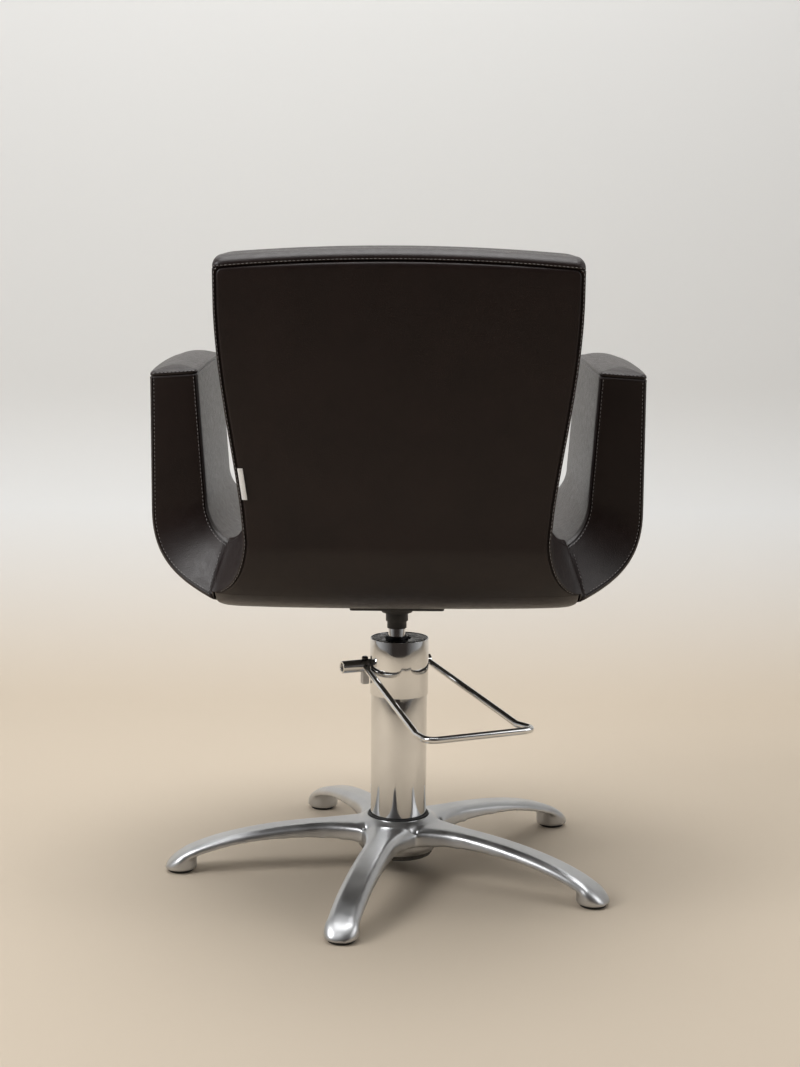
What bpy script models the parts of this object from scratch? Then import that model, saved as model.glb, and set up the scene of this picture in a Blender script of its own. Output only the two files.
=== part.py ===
"""Hairdressing chair: an upholstered bucket seat on a pedal-pumped column with a five-leg base.

Frame: metres, +Z up, +Y towards the front of the chair, origin on the floor on the column's axis.
Nearly every size below is a driving dimension; places further down are worked out from them.
"""
import math

import bmesh
import bpy
from mathutils import Matrix, Vector

# Clearance between two pieces that touch or run in each other
GAP = 0.0003

# Star base
LEG_COUNT = 5
FIRST_LEG_TURN = math.radians(-103.4)
FOOT_REACH = 0.300
FOOT_RADIUS = 0.0215
GLIDE_HEIGHT = 0.0034
STEM_RADIUS = 0.0044
STEM_TOP = 0.0120
LEG_HALF_WIDTH = 0.0195
LEG_CREST_HALF = 0.0100
LEG_FLARE = 0.0135
FLARE_RUN = 0.055
LEG_TOP = 0.0690
LEG_DEPTH = 0.0165
HUB_WALL = 0.0176
HUB_RISE = 0.0085

# Column and pump
TUBE_RADIUS = 0.0384
TUBE_WALL = 0.0018
FLANGE_LOW = 0.0215
FLANGE_THICK = 0.0060
FLANGE_OVER = 0.0086
SPIGOT_HEIGHT = 0.0125
SPANNER_HALF = 0.003
SPANNER_DEPTH = 0.004
HEAD_TOP = 0.3235
HEAD_HEIGHT = 0.0615
SLEEVE_WALL = 0.0012
SLEEVE_LAP = 0.0155
CAP_THICK = 0.0085
PUMP_DEPTH = 0.0170
PUMP_PLUG = 0.0300
ROD_RADIUS = 0.0118
ROD_SHIFT = -0.004
BARREL_ROOM = 0.0024
BARREL_WALL = 0.0028

# Pedal
PEDAL_TURN = math.radians(24.0)
PIVOT_BACK = 0.022
PIVOT_RISE = 0.0220
SHAFT_RADIUS = 0.0086
SHAFT_WALL = 0.0030
SHAFT_OVER_LEFT = 0.0290
SHAFT_OVER_RIGHT = 0.0090
STIRRUP_SHIFT = 0.004
STIRRUP_RADIUS = 0.0045
STIRRUP_STANDOFF = 0.0071
STIRRUP_SPLAY = 0.024
STIRRUP_FLARE = 0.010
STIRRUP_RUN = 0.227
STIRRUP_DROP = 0.040
STIRRUP_TREAD = 0.035
FINGER_REACH = 0.019
LUG_HALF = 0.0046
LUG_CLEAR = 0.0012

# Seat mounting
PLATE_HALF_X = 0.0625
PLATE_HALF_Y = 0.083
PLATE_RISE = 0.0565
PLATE_THICK = 0.0042
CONE_HEIGHT = 0.0200
CONE_LOW_OVER = 0.0092
CONE_TOP_OVER = 0.0132
RAIL_HEIGHT = 0.0178
COVER_THICK = 0.0017
BOARD_THICK = 0.018
BAR_THICK = 0.006
BAR_HALF = 0.030

# Upholstery
SEAT_THICK = 0.076
SEAT_CROWN = 0.012
SEAT_FRONT = 0.315
ARM_END = 0.200
ARM_SPREAD = 0.041
ARM_THICK = 0.0705
ARM_SLOPE = 0.011
ARM_RISE = 0.224
ARM_FRONT = 0.170
ARM_ROUND = 0.011
BACK_END = -0.165
BACK_REACH = 0.118
BACK_RAKE = 0.031
BACK_THICK = 0.065
BACK_RISE = 0.360
BACK_BAND = 0.017
BACK_TUCK = 0.014
BACK_SPREAD = 0.0328
BACK_ARCH = 0.010
PANEL_THICK = 0.0107
WELT_RADIUS = 0.0024
NOTCH_OUT = 0.032
NOTCH_BACK = 0.060

# Places that follow from the sizes above
GLIDE_RADIUS = FOOT_RADIUS - 0.0040
HUB_RADIUS = TUBE_RADIUS + HUB_WALL
HUB_TOP = LEG_TOP + HUB_RISE
FLANGE_RADIUS = TUBE_RADIUS + FLANGE_OVER
CAVITY_RADIUS = TUBE_RADIUS - 0.0044
TUBE_TOP = HEAD_TOP - HEAD_HEIGHT
SLEEVE_LOW = TUBE_TOP - SLEEVE_LAP
PUMP_FLOOR = TUBE_TOP - PUMP_DEPTH
PUMP_LOW = PUMP_FLOOR - PUMP_PLUG
BARREL_RADIUS = ROD_RADIUS + BARREL_ROOM
COLLAR_LOW = HEAD_TOP + 0.0145
PIVOT_HEIGHT = TUBE_TOP + PIVOT_RISE
SHAFT_BORE = SHAFT_RADIUS - SHAFT_WALL
SLEEVE_BORE = TUBE_RADIUS + GAP
SLEEVE_RADIUS = SLEEVE_BORE + SLEEVE_WALL
STIRRUP_ROOT_HALF = SLEEVE_RADIUS + STIRRUP_STANDOFF
SHAFT_LEFT = STIRRUP_ROOT_HALF + SHAFT_OVER_LEFT
SHAFT_RIGHT = STIRRUP_ROOT_HALF + SHAFT_OVER_RIGHT
SLEEVE_AT_LUG = math.sqrt(SLEEVE_RADIUS**2 - (PIVOT_BACK - LUG_HALF)**2)
BOLT_X = -SLEEVE_AT_LUG - LUG_CLEAR - LUG_HALF
STIRRUP_HALF = STIRRUP_ROOT_HALF + STIRRUP_SPLAY
PLATE_LOW = HEAD_TOP + PLATE_RISE
SHELL_LOW = PLATE_LOW + PLATE_THICK + RAIL_HEIGHT
SEAT_LINE = SHELL_LOW + SEAT_THICK
ARM_IN_LOW = ARM_END + ARM_SPREAD
ARM_IN_TOP = ARM_IN_LOW + ARM_SLOPE
ARM_OUT = ARM_IN_LOW + ARM_THICK
ARM_TOP = SEAT_LINE + ARM_RISE
ARM_REAR = BACK_END - 0.001
ARM_END_LOW = SHELL_LOW + 0.0055
ARM_BEND_OUT = SEAT_LINE + 0.042
ARM_BEND_IN = SEAT_LINE + 0.062
BACK_LOW_REAR = BACK_END - BACK_REACH
BACK_TOP_REAR = BACK_LOW_REAR - BACK_RAKE
BACK_LOW_FRONT = BACK_LOW_REAR + BACK_THICK
BACK_TOP_FRONT = BACK_TOP_REAR + BACK_THICK - 0.001
BACK_BEND_OUT = SEAT_LINE + 0.022
BACK_BEND_IN = SEAT_LINE + 0.052
BACK_SEAM = SEAT_LINE + BACK_RISE
BACK_TOP = BACK_SEAM + BACK_BAND
BACK_WAIST = ARM_END - BACK_TUCK
NOTCH = Vector((ARM_END + NOTCH_OUT, BACK_END - NOTCH_BACK, 0.0))


def clear_scene():
    for item in list(bpy.data.objects):
        bpy.data.objects.remove(item, do_unlink=True)


def surface(name, colour, metallic, roughness):
    made = bpy.data.materials.new(name)
    made.use_nodes = True
    shader = made.node_tree.nodes["Principled BSDF"]
    shader.inputs["Base Color"].default_value = (*colour, 1.0)
    shader.inputs["Metallic"].default_value = metallic
    shader.inputs["Roughness"].default_value = roughness
    made.diffuse_color = (*colour, 1.0)
    return made


def finished(bm):
    bmesh.ops.recalc_face_normals(bm, faces=bm.faces[:])
    mesh = bpy.data.meshes.new("solid")
    bm.to_mesh(mesh)
    bm.free()
    return mesh


def turned(profile, segments=32, centre=(0.0, 0.0), ring=False):
    """Spin (radius, height) points about an upright axis. A ring's profile closes on itself."""
    bm = bmesh.new()
    verts = [bm.verts.new((radius, 0.0, height)) for radius, height in profile]
    pairs = list(zip(verts, verts[1:]))
    if ring:
        pairs.append((verts[-1], verts[0]))
    edges = [bm.edges.new(pair) for pair in pairs]
    bmesh.ops.spin(bm, geom=verts + edges, cent=(0, 0, 0), axis=(0, 0, 1), angle=2 * math.pi,
                   steps=segments, use_merge=True, use_duplicate=False)
    bmesh.ops.remove_doubles(bm, verts=bm.verts[:], dist=1e-6)
    bmesh.ops.translate(bm, verts=bm.verts[:], vec=(centre[0], centre[1], 0.0))
    return finished(bm)


def ring(inner, outer, low, high, segments=32, centre=(0.0, 0.0), chamfer=0.0):
    profile = [(outer, low), (outer, high - chamfer), (outer - chamfer, high), (inner, high), (inner, low)]
    if chamfer == 0.0:
        del profile[2]
    return turned(profile, segments, centre, ring=True)


def rod(start, end, radius, segments=16):
    start, end = Vector(start), Vector(end)
    turn = (end - start).to_track_quat("Z", "Y").to_matrix().to_4x4()
    bm = bmesh.new()
    bmesh.ops.create_cone(bm, cap_ends=True, segments=segments, radius1=radius, radius2=radius,
                          depth=(end - start).length,
                          matrix=Matrix.Translation((start + end) / 2) @ turn)
    return finished(bm)


def block(low, high, bevel=0.0):
    low, high = Vector(low), Vector(high)
    bm = bmesh.new()
    size = Matrix.Diagonal((*(high - low), 1.0))
    bmesh.ops.create_cube(bm, size=1.0, matrix=Matrix.Translation((low + high) / 2) @ size)
    if bevel > 0.0:
        bmesh.ops.bevel(bm, geom=bm.edges[:], offset=bevel, segments=1, profile=0.5, affect="EDGES")
    return finished(bm)


def lofted(rings):
    """Skin a row of rings with equal counts and close both ends."""
    bm = bmesh.new()
    loops = [[bm.verts.new(point) for point in points] for points in rings]
    count = len(loops[0])
    for here, there in zip(loops, loops[1:]):
        for k in range(count):
            n = (k + 1) % count
            bm.faces.new((here[k], here[n], there[n], there[k]))
    bm.faces.new(list(reversed(loops[0])))
    bm.faces.new(loops[-1])
    bmesh.ops.triangulate(bm, faces=[face for face in bm.faces if len(face.verts) > 4])
    return finished(bm)


def swept(path, section):
    """Carry a flat section of (across, along-normal) points down a path of (point, normal, across)."""
    return lofted([[point + side * a + normal * b for a, b in section] for point, normal, side in path])


def eased(points, radius, steps=4):
    """Round the inner corners of a polyline."""
    points = [Vector(point) for point in points]
    out = [points[0]]
    for before, corner, after in zip(points, points[1:], points[2:]):
        to_before = (before - corner).normalized()
        to_after = (after - corner).normalized()
        half = to_before.angle(to_after) / 2
        reach = min(radius / math.tan(half), (before - corner).length * 0.49, (after - corner).length * 0.49)
        for k in range(steps + 1):
            t = k / steps
            out.append(corner + to_before * reach * (1 - t) ** 2 + to_after * reach * t ** 2)
    out.append(points[-1])
    return out


def piped(points, radius, resolution=2):
    curve = bpy.data.curves.new("pipe", "CURVE")
    curve.dimensions = "3D"
    curve.bevel_depth = radius
    curve.bevel_resolution = resolution
    curve.use_fill_caps = True
    spline = curve.splines.new("POLY")
    spline.points.add(len(points) - 1)
    for knot, point in zip(spline.points, points):
        knot.co = (*point, 1.0)
    item = bpy.data.objects.new("pipe", curve)
    bpy.context.collection.objects.link(item)
    bpy.context.view_layer.update()
    graph = bpy.context.evaluated_depsgraph_get()
    raw = bpy.data.meshes.new_from_object(item.evaluated_get(graph))
    bpy.data.objects.remove(item, do_unlink=True)
    bm = bmesh.new()
    bm.from_mesh(raw)
    bmesh.ops.remove_doubles(bm, verts=bm.verts[:], dist=1e-6)
    return finished(bm)


def joined(meshes):
    bm = bmesh.new()
    for mesh in meshes:
        bm.from_mesh(mesh)
    return finished(bm)


def combined(target, tools, operation="DIFFERENCE"):
    """Cut tools out of a solid, or join them to it."""
    whole = bpy.data.objects.new("whole", target)
    bpy.context.collection.objects.link(whole)
    used = []
    for tool in tools:
        item = bpy.data.objects.new("tool", tool)
        item.hide_render = True
        item.display_type = "WIRE"
        bpy.context.collection.objects.link(item)
        used.append(item)
        step = whole.modifiers.new("step", "BOOLEAN")
        step.operation = operation
        step.solver = "MANIFOLD" if operation == "UNION" else "EXACT"
        step.object = item
    bpy.context.view_layer.update()
    graph = bpy.context.evaluated_depsgraph_get()
    raw = bpy.data.meshes.new_from_object(whole.evaluated_get(graph))
    for item in used + [whole]:
        bpy.data.objects.remove(item, do_unlink=True)
    bm = bmesh.new()
    bm.from_mesh(raw)
    bmesh.ops.remove_doubles(bm, verts=bm.verts[:], dist=2e-6)
    bmesh.ops.dissolve_degenerate(bm, dist=1e-6, edges=bm.edges[:])
    return finished(bm)


def moved(mesh, matrix):
    mesh = mesh.copy()
    mesh.transform(matrix)
    return mesh


def mirrored(mesh):
    bm = bmesh.new()
    bm.from_mesh(mesh)
    bmesh.ops.scale(bm, vec=(-1.0, 1.0, 1.0), verts=bm.verts[:])
    return finished(bm)


def holder(name, matrix, parent=None):
    """An empty on a joint's axis."""
    item = bpy.data.objects.new(name, None)
    item.empty_display_size = 0.05
    bpy.context.collection.objects.link(item)
    if parent is not None:
        item.parent = parent
        matrix = PLACES[parent.name].inverted() @ matrix
    item.matrix_local = matrix
    PLACES[name] = (PLACES[parent.name] if parent else Matrix.Identity(4)) @ matrix
    return item


def add(name, mesh, look, parent, smooth=True):
    """Name a solid and hang it on its body's empty. The seat's own are drawn about the swivel axis."""
    mesh.name = name
    if parent.name == "seat":
        mesh.transform(Matrix.Translation((ROD_AXIS.x, ROD_AXIS.y, 0.0)))
    mesh.transform(PLACES[parent.name].inverted())
    mesh.materials.clear()
    mesh.materials.append(look)
    if smooth:
        mesh.shade_smooth()
        mesh.set_sharp_from_angle(angle=math.radians(38))
    item = bpy.data.objects.new(name, mesh)
    bpy.context.collection.objects.link(item)
    item.parent = parent
    return item


def hex_bolt(x, y, head_low, head_high, radius, tip, head_radius):
    """An upright bolt with a six-sided head. Its tip may lie above or below the head."""
    head = rod((x, y, head_low), (x, y, head_high), head_radius, 6)
    root = (head_low + head_high) / 2
    return combined(head, [rod((x, y, root), (x, y, tip), radius, 8)], "UNION")


PLACES = {}
clear_scene()

ALUMINIUM = surface("polished_aluminium", (0.80, 0.81, 0.82), 1.0, 0.14)
CHROME = surface("chrome", (0.86, 0.87, 0.89), 1.0, 0.05)
DARK_STEEL = surface("dark_steel", (0.05, 0.05, 0.055), 0.9, 0.28)
STEEL = surface("zinc_steel", (0.52, 0.53, 0.54), 1.0, 0.42)
IRON = surface("cast_iron", (0.06, 0.06, 0.065), 0.6, 0.55)
BRONZE = surface("bronze", (0.55, 0.38, 0.17), 1.0, 0.35)
RUBBER = surface("rubber", (0.018, 0.018, 0.019), 0.0, 0.75)
LEATHER = surface("leather", (0.016, 0.012, 0.011), 0.0, 0.38)
PLYWOOD = surface("plywood", (0.52, 0.37, 0.22), 0.0, 0.65)
CLOTH = surface("dust_cloth", (0.022, 0.022, 0.024), 0.0, 0.95)

PUMP = Matrix.Rotation(PEDAL_TURN, 4, "Z")
PIVOT = PUMP @ Matrix.Translation((0.0, PIVOT_BACK, PIVOT_HEIGHT))
PLUNGER_SPOT = Vector((FINGER_REACH, PIVOT_BACK - FINGER_REACH, 0.0))
ROD_AXIS = PUMP @ Vector((ROD_SHIFT, 0.0, 0.0))
ROD_XY = (ROD_AXIS.x, ROD_AXIS.y)

base = holder("base", Matrix.Identity(4))
pedal = holder("pedal", PIVOT, base)
plunger = holder("plunger", PUMP @ Matrix.Translation((PLUNGER_SPOT.x, PLUNGER_SPOT.y, PUMP_FLOOR)), base)
piston = holder("piston", Matrix.Translation((ROD_AXIS.x, ROD_AXIS.y, PUMP_LOW)), base)
seat = holder("seat", Matrix.Translation((ROD_AXIS.x, ROD_AXIS.y, PLATE_LOW)), piston)


# Star base: five arched channel legs that roll down into rounded toes, and a hub
LEG_ROOT = HUB_RADIUS - 0.006
TOE_REACH = FOOT_REACH + FOOT_RADIUS


def leg_top(reach):
    """The crest is a quarter of an ellipse, from the hub down to the tip of the toe."""
    along = (reach - LEG_ROOT) / (TOE_REACH - LEG_ROOT)
    return LEG_TOP * math.sqrt(1 - along**2)


def leg_half(reach):
    """The leg widens into the hub with a hollow curve."""
    return LEG_HALF_WIDTH + LEG_FLARE * max(0.0, 1 - (reach - LEG_ROOT) / FLARE_RUN) ** 2


def leg_section(reach):
    top = leg_top(reach)
    half = leg_half(reach)
    out = (reach - HUB_RADIUS) / (FOOT_REACH - HUB_RADIUS)
    deep = LEG_DEPTH + 0.0075 * max(0.0, 1 - out / 0.30)
    deep -= 0.0045 * min(1.0, max(0.0, (out - 0.30) / 0.30))
    low = top - deep
    roof = top - 0.53 * deep
    crest = LEG_CREST_HALF + 0.5 * (half - LEG_HALF_WIDTH)
    shoulder = half - 0.0022
    outer = [(-half, low), (-shoulder, top - 0.0052), (-crest, top), (crest, top), (shoulder, top - 0.0052),
             (half, low)]
    inside = shoulder - 0.0042
    inner = [(half - 0.0048, low), (inside, roof), (-inside, roof), (-half + 0.0048, low)]
    return [Vector((reach, side, height)) for side, height in outer + inner]


LEG_REACHES = [LEG_ROOT]
for share in (0.02, 0.07, 0.13, 0.22, 0.36, 0.52, 0.67, 0.80, 0.90, 0.977):
    LEG_REACHES.append(HUB_RADIUS + (FOOT_REACH - HUB_RADIUS) * share)
HUB_LOW = FLANGE_LOW + FLANGE_THICK + GAP
FOOT_LOW = GLIDE_HEIGHT + GAP
one_leg = lofted([leg_section(reach) for reach in LEG_REACHES])


def toe_section(turn):
    """Section of the round foot: upright below, and under the arch of the leg above."""
    reach = FOOT_REACH + FOOT_RADIUS * math.sin(turn)
    half = FOOT_RADIUS * math.cos(turn)
    behind = max(0.0, -0.55 - math.sin(turn))
    top = max(leg_top(reach) + 0.0005 - 0.0100 * behind, FOOT_LOW + GAP / 2)
    tall = top - FOOT_LOW
    edge = min(0.0020, 0.5 * half)
    sides = [(half - edge, FOOT_LOW), (half, FOOT_LOW + min(0.0030, 0.25 * tall)),
             (half, top - min(0.0105, 0.60 * tall)), (0.86 * half, top - min(0.0042, 0.25 * tall)),
             (0.50 * half, top - min(0.0007, 0.05 * tall))]
    outline = sides + [(-side, height) for side, height in reversed(sides)]
    return [Vector((reach, side, height)) for side, height in outline]


TOE_TURNS = [math.radians(-80 + 20 * k) for k in range(9)]
one_foot = lofted([toe_section(turn) for turn in TOE_TURNS])
hub = turned([(0.0, HUB_LOW), (HUB_RADIUS - 0.006, HUB_LOW), (HUB_RADIUS, HUB_LOW + 0.008),
              (HUB_RADIUS, LEG_TOP - 0.006), (HUB_RADIUS - 0.003, LEG_TOP + 0.001),
              (TUBE_RADIUS + 0.0091, HUB_TOP - 0.0025), (TUBE_RADIUS + 0.0046, HUB_TOP), (0.0, HUB_TOP)], 36)
TURNS = [FIRST_LEG_TURN + k * 2 * math.pi / LEG_COUNT for k in range(LEG_COUNT)]
limb = combined(one_leg, [one_foot], "UNION")
limbs = [moved(limb, Matrix.Rotation(turn, 4, "Z")) for turn in TURNS]
SEAT_RING = TUBE_RADIUS + 0.0034
star = combined(hub, limbs, "UNION")
bores = [rod((0, 0, 0), (0, 0, HUB_TOP + 0.02), TUBE_RADIUS + GAP, 32),
         rod((0, 0, HUB_TOP - 0.0042), (0, 0, HUB_TOP + 0.02), SEAT_RING, 32)]
stem_holes = []
for turn in TURNS:
    x, y = FOOT_REACH * math.cos(turn), FOOT_REACH * math.sin(turn)
    stem_holes.append(rod((x, y, 0.0), (x, y, STEM_TOP + GAP), STEM_RADIUS + GAP, 10))
star = combined(star, bores + [joined(stem_holes)])
add("star_base", star, ALUMINIUM, base)

for k, turn in enumerate(TURNS):
    spot = (FOOT_REACH * math.cos(turn), FOOT_REACH * math.sin(turn))
    add("foot_glide_%d" % (k + 1),
        turned([(0.0, 0.0), (GLIDE_RADIUS, 0.0), (GLIDE_RADIUS, GLIDE_HEIGHT), (STEM_RADIUS, GLIDE_HEIGHT),
                (STEM_RADIUS, STEM_TOP), (0.0, STEM_TOP)], 14, spot), RUBBER, base)

# Pump base, a clamp nut with spanner notches under the hub, and the sealing ring on top of the hub
FLANGE_TOP = FLANGE_LOW + FLANGE_THICK
TUBE_LOW = FLANGE_TOP + GAP
TUBE_BORE = TUBE_RADIUS - TUBE_WALL
SPIGOT_TOP = FLANGE_TOP + SPIGOT_HEIGHT
foot_block = turned([(0.0, FLANGE_LOW), (FLANGE_RADIUS - 0.0015, FLANGE_LOW),
                     (FLANGE_RADIUS, FLANGE_LOW + 0.0015), (FLANGE_RADIUS, FLANGE_TOP),
                     (TUBE_BORE - GAP, FLANGE_TOP), (TUBE_BORE - GAP, SPIGOT_TOP), (0.0, SPIGOT_TOP)], 32)
BARREL_OUT = BARREL_RADIUS + BARREL_WALL
WELL_LOW = FLANGE_TOP + 0.0025
barrel_well = rod((*ROD_XY, WELL_LOW), (*ROD_XY, SPIGOT_TOP + 0.01), BARREL_OUT + GAP, 24)
one_notch = block((FLANGE_RADIUS - SPANNER_DEPTH, -SPANNER_HALF, 0.0),
                  (FLANGE_RADIUS + SPANNER_DEPTH, SPANNER_HALF, SPIGOT_TOP))
notches = [moved(one_notch, Matrix.Rotation(TURNS[0] + k * math.pi / 2, 4, "Z")) for k in range(4)]
add("pump_base", combined(foot_block, [barrel_well, joined(notches)]), IRON, base)
add("column_gasket", ring(TUBE_RADIUS + GAP, SEAT_RING - GAP, HUB_TOP - 0.0042 + GAP, HUB_TOP + 0.0008, 32,
                          chamfer=0.0009), RUBBER, base)

# Column tube, head sleeve with the cross holes for the pedal shaft, pump head, cap and bushes
add("column_tube", ring(TUBE_BORE, TUBE_RADIUS, TUBE_LOW, TUBE_TOP, 40), CHROME, base)
WAY_ENDS = [(side * (TUBE_RADIUS + 0.02), PIVOT_BACK, PIVOT_HEIGHT) for side in (-1, 1)]
shaft_way = moved(rod(*WAY_ENDS, SHAFT_RADIUS + GAP, 20), PUMP)
wide_way = moved(rod(*WAY_ENDS, SHAFT_RADIUS + 2 * GAP, 20), PUMP)
sleeve = ring(SLEEVE_BORE, SLEEVE_RADIUS, SLEEVE_LOW, HEAD_TOP + 0.0004, 40, chamfer=0.0004)
add("head_sleeve", combined(sleeve, [wide_way]), CHROME, base)

CAP_LOW = HEAD_TOP - CAP_THICK
head = turned([(0.0, PUMP_LOW), (TUBE_BORE - GAP, PUMP_LOW), (TUBE_BORE - GAP, TUBE_TOP + GAP),
               (TUBE_RADIUS, TUBE_TOP + GAP), (TUBE_RADIUS, CAP_LOW - GAP), (CAVITY_RADIUS, CAP_LOW - GAP),
               (CAVITY_RADIUS, PUMP_FLOOR), (0.0, PUMP_FLOOR)], 32)
PLUNGER_XY = (PUMP @ PLUNGER_SPOT).to_tuple()[:2]
PLUNGER_RADIUS = 0.004
barrel_way = rod((*ROD_XY, PUMP_LOW - 0.01), (*ROD_XY, PUMP_FLOOR + 0.01), BARREL_OUT + GAP, 24)
plunger_way = rod((*PLUNGER_XY, PUMP_LOW - 0.01), (*PLUNGER_XY, PUMP_FLOOR + 0.01), PLUNGER_RADIUS + GAP, 12)
add("pump_head", combined(head, [barrel_way, plunger_way, shaft_way]), IRON, base)
barrel = ring(BARREL_RADIUS, BARREL_OUT, WELL_LOW + GAP, PUMP_FLOOR - GAP, 24, ROD_XY)
add("pump_barrel", barrel, STEEL, base)
BUSH_LOW = PUMP_FLOOR - 0.024
bush = ring(ROD_RADIUS + GAP, BARREL_RADIUS - GAP, BUSH_LOW, PUMP_FLOOR - GAP, 24, ROD_XY)
add("rod_bush", bush, BRONZE, base)
BUSH_RADIUS = ROD_RADIUS + 0.0038
cap = turned([(0.0, CAP_LOW), (TUBE_RADIUS, CAP_LOW), (TUBE_RADIUS, HEAD_TOP - 0.0006),
              (TUBE_RADIUS - 0.0006, HEAD_TOP), (0.0, HEAD_TOP)], 40)
cap_way = rod((*ROD_XY, CAP_LOW - 0.01), (*ROD_XY, HEAD_TOP + 0.01), BUSH_RADIUS + GAP, 24)
add("head_cap", combined(cap, [cap_way]), DARK_STEEL, base)
add("cap_bush", ring(ROD_RADIUS + GAP, BUSH_RADIUS, CAP_LOW, HEAD_TOP + 0.0038, 24, ROD_XY, chamfer=0.0012),
    DARK_STEEL, base)

# Pedal: shaft with an open end, finger, bent stirrup, clamp bolt and lug, all drawn on the pivot's own axes
FINGER_HALF = 0.0027
FINGER_THICK = 0.0032
shaft = turned([(SHAFT_RADIUS, -SHAFT_LEFT), (SHAFT_RADIUS, SHAFT_RIGHT), (SHAFT_BORE, SHAFT_RIGHT),
                (SHAFT_BORE, -SHAFT_LEFT)], 20, ring=True)
shaft = moved(shaft, Matrix.Rotation(math.pi / 2, 4, "Y"))
finger_slot = block((FINGER_REACH - FINGER_HALF - GAP, -0.02, -FINGER_THICK - GAP),
                    (FINGER_REACH + FINGER_HALF + GAP, 0.0, FINGER_THICK + GAP))
bolt_hole = rod((BOLT_X, 0, -2 * SHAFT_RADIUS), (BOLT_X, 0, 2 * SHAFT_RADIUS), 0.0028, 12)
shaft = combined(shaft, [finger_slot, bolt_hole])
add("pedal_shaft", moved(shaft, PIVOT), CHROME, pedal)
finger = block((FINGER_REACH - FINGER_HALF, -FINGER_REACH - 0.0035, -FINGER_THICK),
               (FINGER_REACH + FINGER_HALF, -0.0004, FINGER_THICK), bevel=0.0006)
add("pump_finger", moved(finger, PIVOT), STEEL, pedal)
corners = [(-STIRRUP_ROOT_HALF, 0.0, 0.0), (-STIRRUP_HALF, -STIRRUP_RUN, -STIRRUP_DROP),
           (-STIRRUP_HALF, -STIRRUP_RUN - STIRRUP_TREAD, -STIRRUP_DROP),
           (STIRRUP_HALF + STIRRUP_FLARE, -STIRRUP_RUN - STIRRUP_TREAD, -STIRRUP_DROP),
           (STIRRUP_HALF, -STIRRUP_RUN, -STIRRUP_DROP), (STIRRUP_ROOT_HALF, 0.0, 0.0)]
corners = [(x + STIRRUP_SHIFT, y, z) for x, y, z in corners]
bent = piped(eased(corners, 0.020, 5), STIRRUP_RADIUS, 3)
cope_ends = [(-SHAFT_LEFT - 0.02, 0, 0), (SHAFT_LEFT + 0.02, 0, 0)]
cope = rod(*cope_ends, SHAFT_RADIUS + GAP, 20)
add("pedal_stirrup", moved(combined(bent, [cope]), PIVOT), CHROME, pedal)
LUG_LOW = -SHAFT_RADIUS - GAP - 0.0165
LUG_TOP = -SHAFT_RADIUS + 0.0012
lug = block((BOLT_X - LUG_HALF, -LUG_HALF, LUG_LOW), (BOLT_X + LUG_HALF, LUG_HALF, LUG_TOP), bevel=0.0006)
lug_cope = rod(*cope_ends, SHAFT_RADIUS + GAP, 20)
BOLT_TIP = -SHAFT_RADIUS - 0.0094
lug_hole = rod((BOLT_X, 0, BOLT_TIP - 0.0005), (BOLT_X, 0, 0.0), 0.0028, 12)
add("clamp_lug", moved(combined(lug, [lug_cope, lug_hole]), PIVOT), STEEL, pedal)
HEAD_LOW = SHAFT_RADIUS + GAP
bolt = turned([(0.0, BOLT_TIP), (0.0025, BOLT_TIP), (0.0025, HEAD_LOW), (0.0044, HEAD_LOW),
               (0.0044, HEAD_LOW + 0.0027), (0.0030, HEAD_LOW + 0.0039), (0.0, HEAD_LOW + 0.0039)], 12,
              (BOLT_X, 0.0))
add("clamp_bolt", moved(bolt, PIVOT), DARK_STEEL, pedal)

# Pump plunger under the finger, with its return spring
PLUNGER_TOP = PIVOT_HEIGHT - FINGER_THICK - GAP
HEAD_RADIUS = PLUNGER_RADIUS + 0.0022
PLUNGER_HEAD = PLUNGER_TOP - 0.0034
add("pump_plunger",
    turned([(0.0, PUMP_LOW + 0.009), (PLUNGER_RADIUS, PUMP_LOW + 0.009), (PLUNGER_RADIUS, PLUNGER_HEAD),
            (HEAD_RADIUS, PLUNGER_HEAD), (HEAD_RADIUS, PLUNGER_TOP), (0.0, PLUNGER_TOP)], 12, PLUNGER_XY),
    STEEL, plunger)
WIRE = 0.0006
COILS = 6
COIL_STEPS = 9
COIL_LOW = PUMP_FLOOR + WIRE + GAP
COIL_HIGH = PLUNGER_HEAD - WIRE - GAP
helix = []
for k in range(COILS * COIL_STEPS + 1):
    at = 2 * math.pi * k / COIL_STEPS
    reach = PLUNGER_RADIUS + WIRE + 2 * GAP
    rise = COIL_LOW + (COIL_HIGH - COIL_LOW) * k / (COILS * COIL_STEPS)
    helix.append((PLUNGER_XY[0] + reach * math.cos(at), PLUNGER_XY[1] + reach * math.sin(at), rise))
add("plunger_spring", piped(helix, WIRE, 0), STEEL, base)

# Piston, its seal and the thrust washer that the rod turns on
PISTON_LOW = SPIGOT_TOP - 0.008
PISTON_RADIUS = BARREL_RADIUS - GAP
GROOVE_RADIUS = PISTON_RADIUS - 0.0024
GROOVE_LOW = PISTON_LOW + 0.008
GROOVE_TOP = PISTON_LOW + 0.012
PISTON_TOP = PISTON_LOW + 0.020
add("piston_disc",
    turned([(0.0, PISTON_LOW), (PISTON_RADIUS, PISTON_LOW), (PISTON_RADIUS, GROOVE_LOW),
            (GROOVE_RADIUS, GROOVE_LOW), (GROOVE_RADIUS, GROOVE_TOP), (PISTON_RADIUS, GROOVE_TOP),
            (PISTON_RADIUS, PISTON_TOP), (0.0, PISTON_TOP)], 24, ROD_XY), STEEL, piston)
seal = ring(GROOVE_RADIUS + GAP, PISTON_RADIUS + 0.0001, GROOVE_LOW + GAP, GROOVE_TOP - GAP, 24, ROD_XY)
add("piston_seal", seal, RUBBER, piston)
WASHER_LOW = PISTON_TOP + GAP
WASHER_TOP = PISTON_TOP + 0.004
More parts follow.
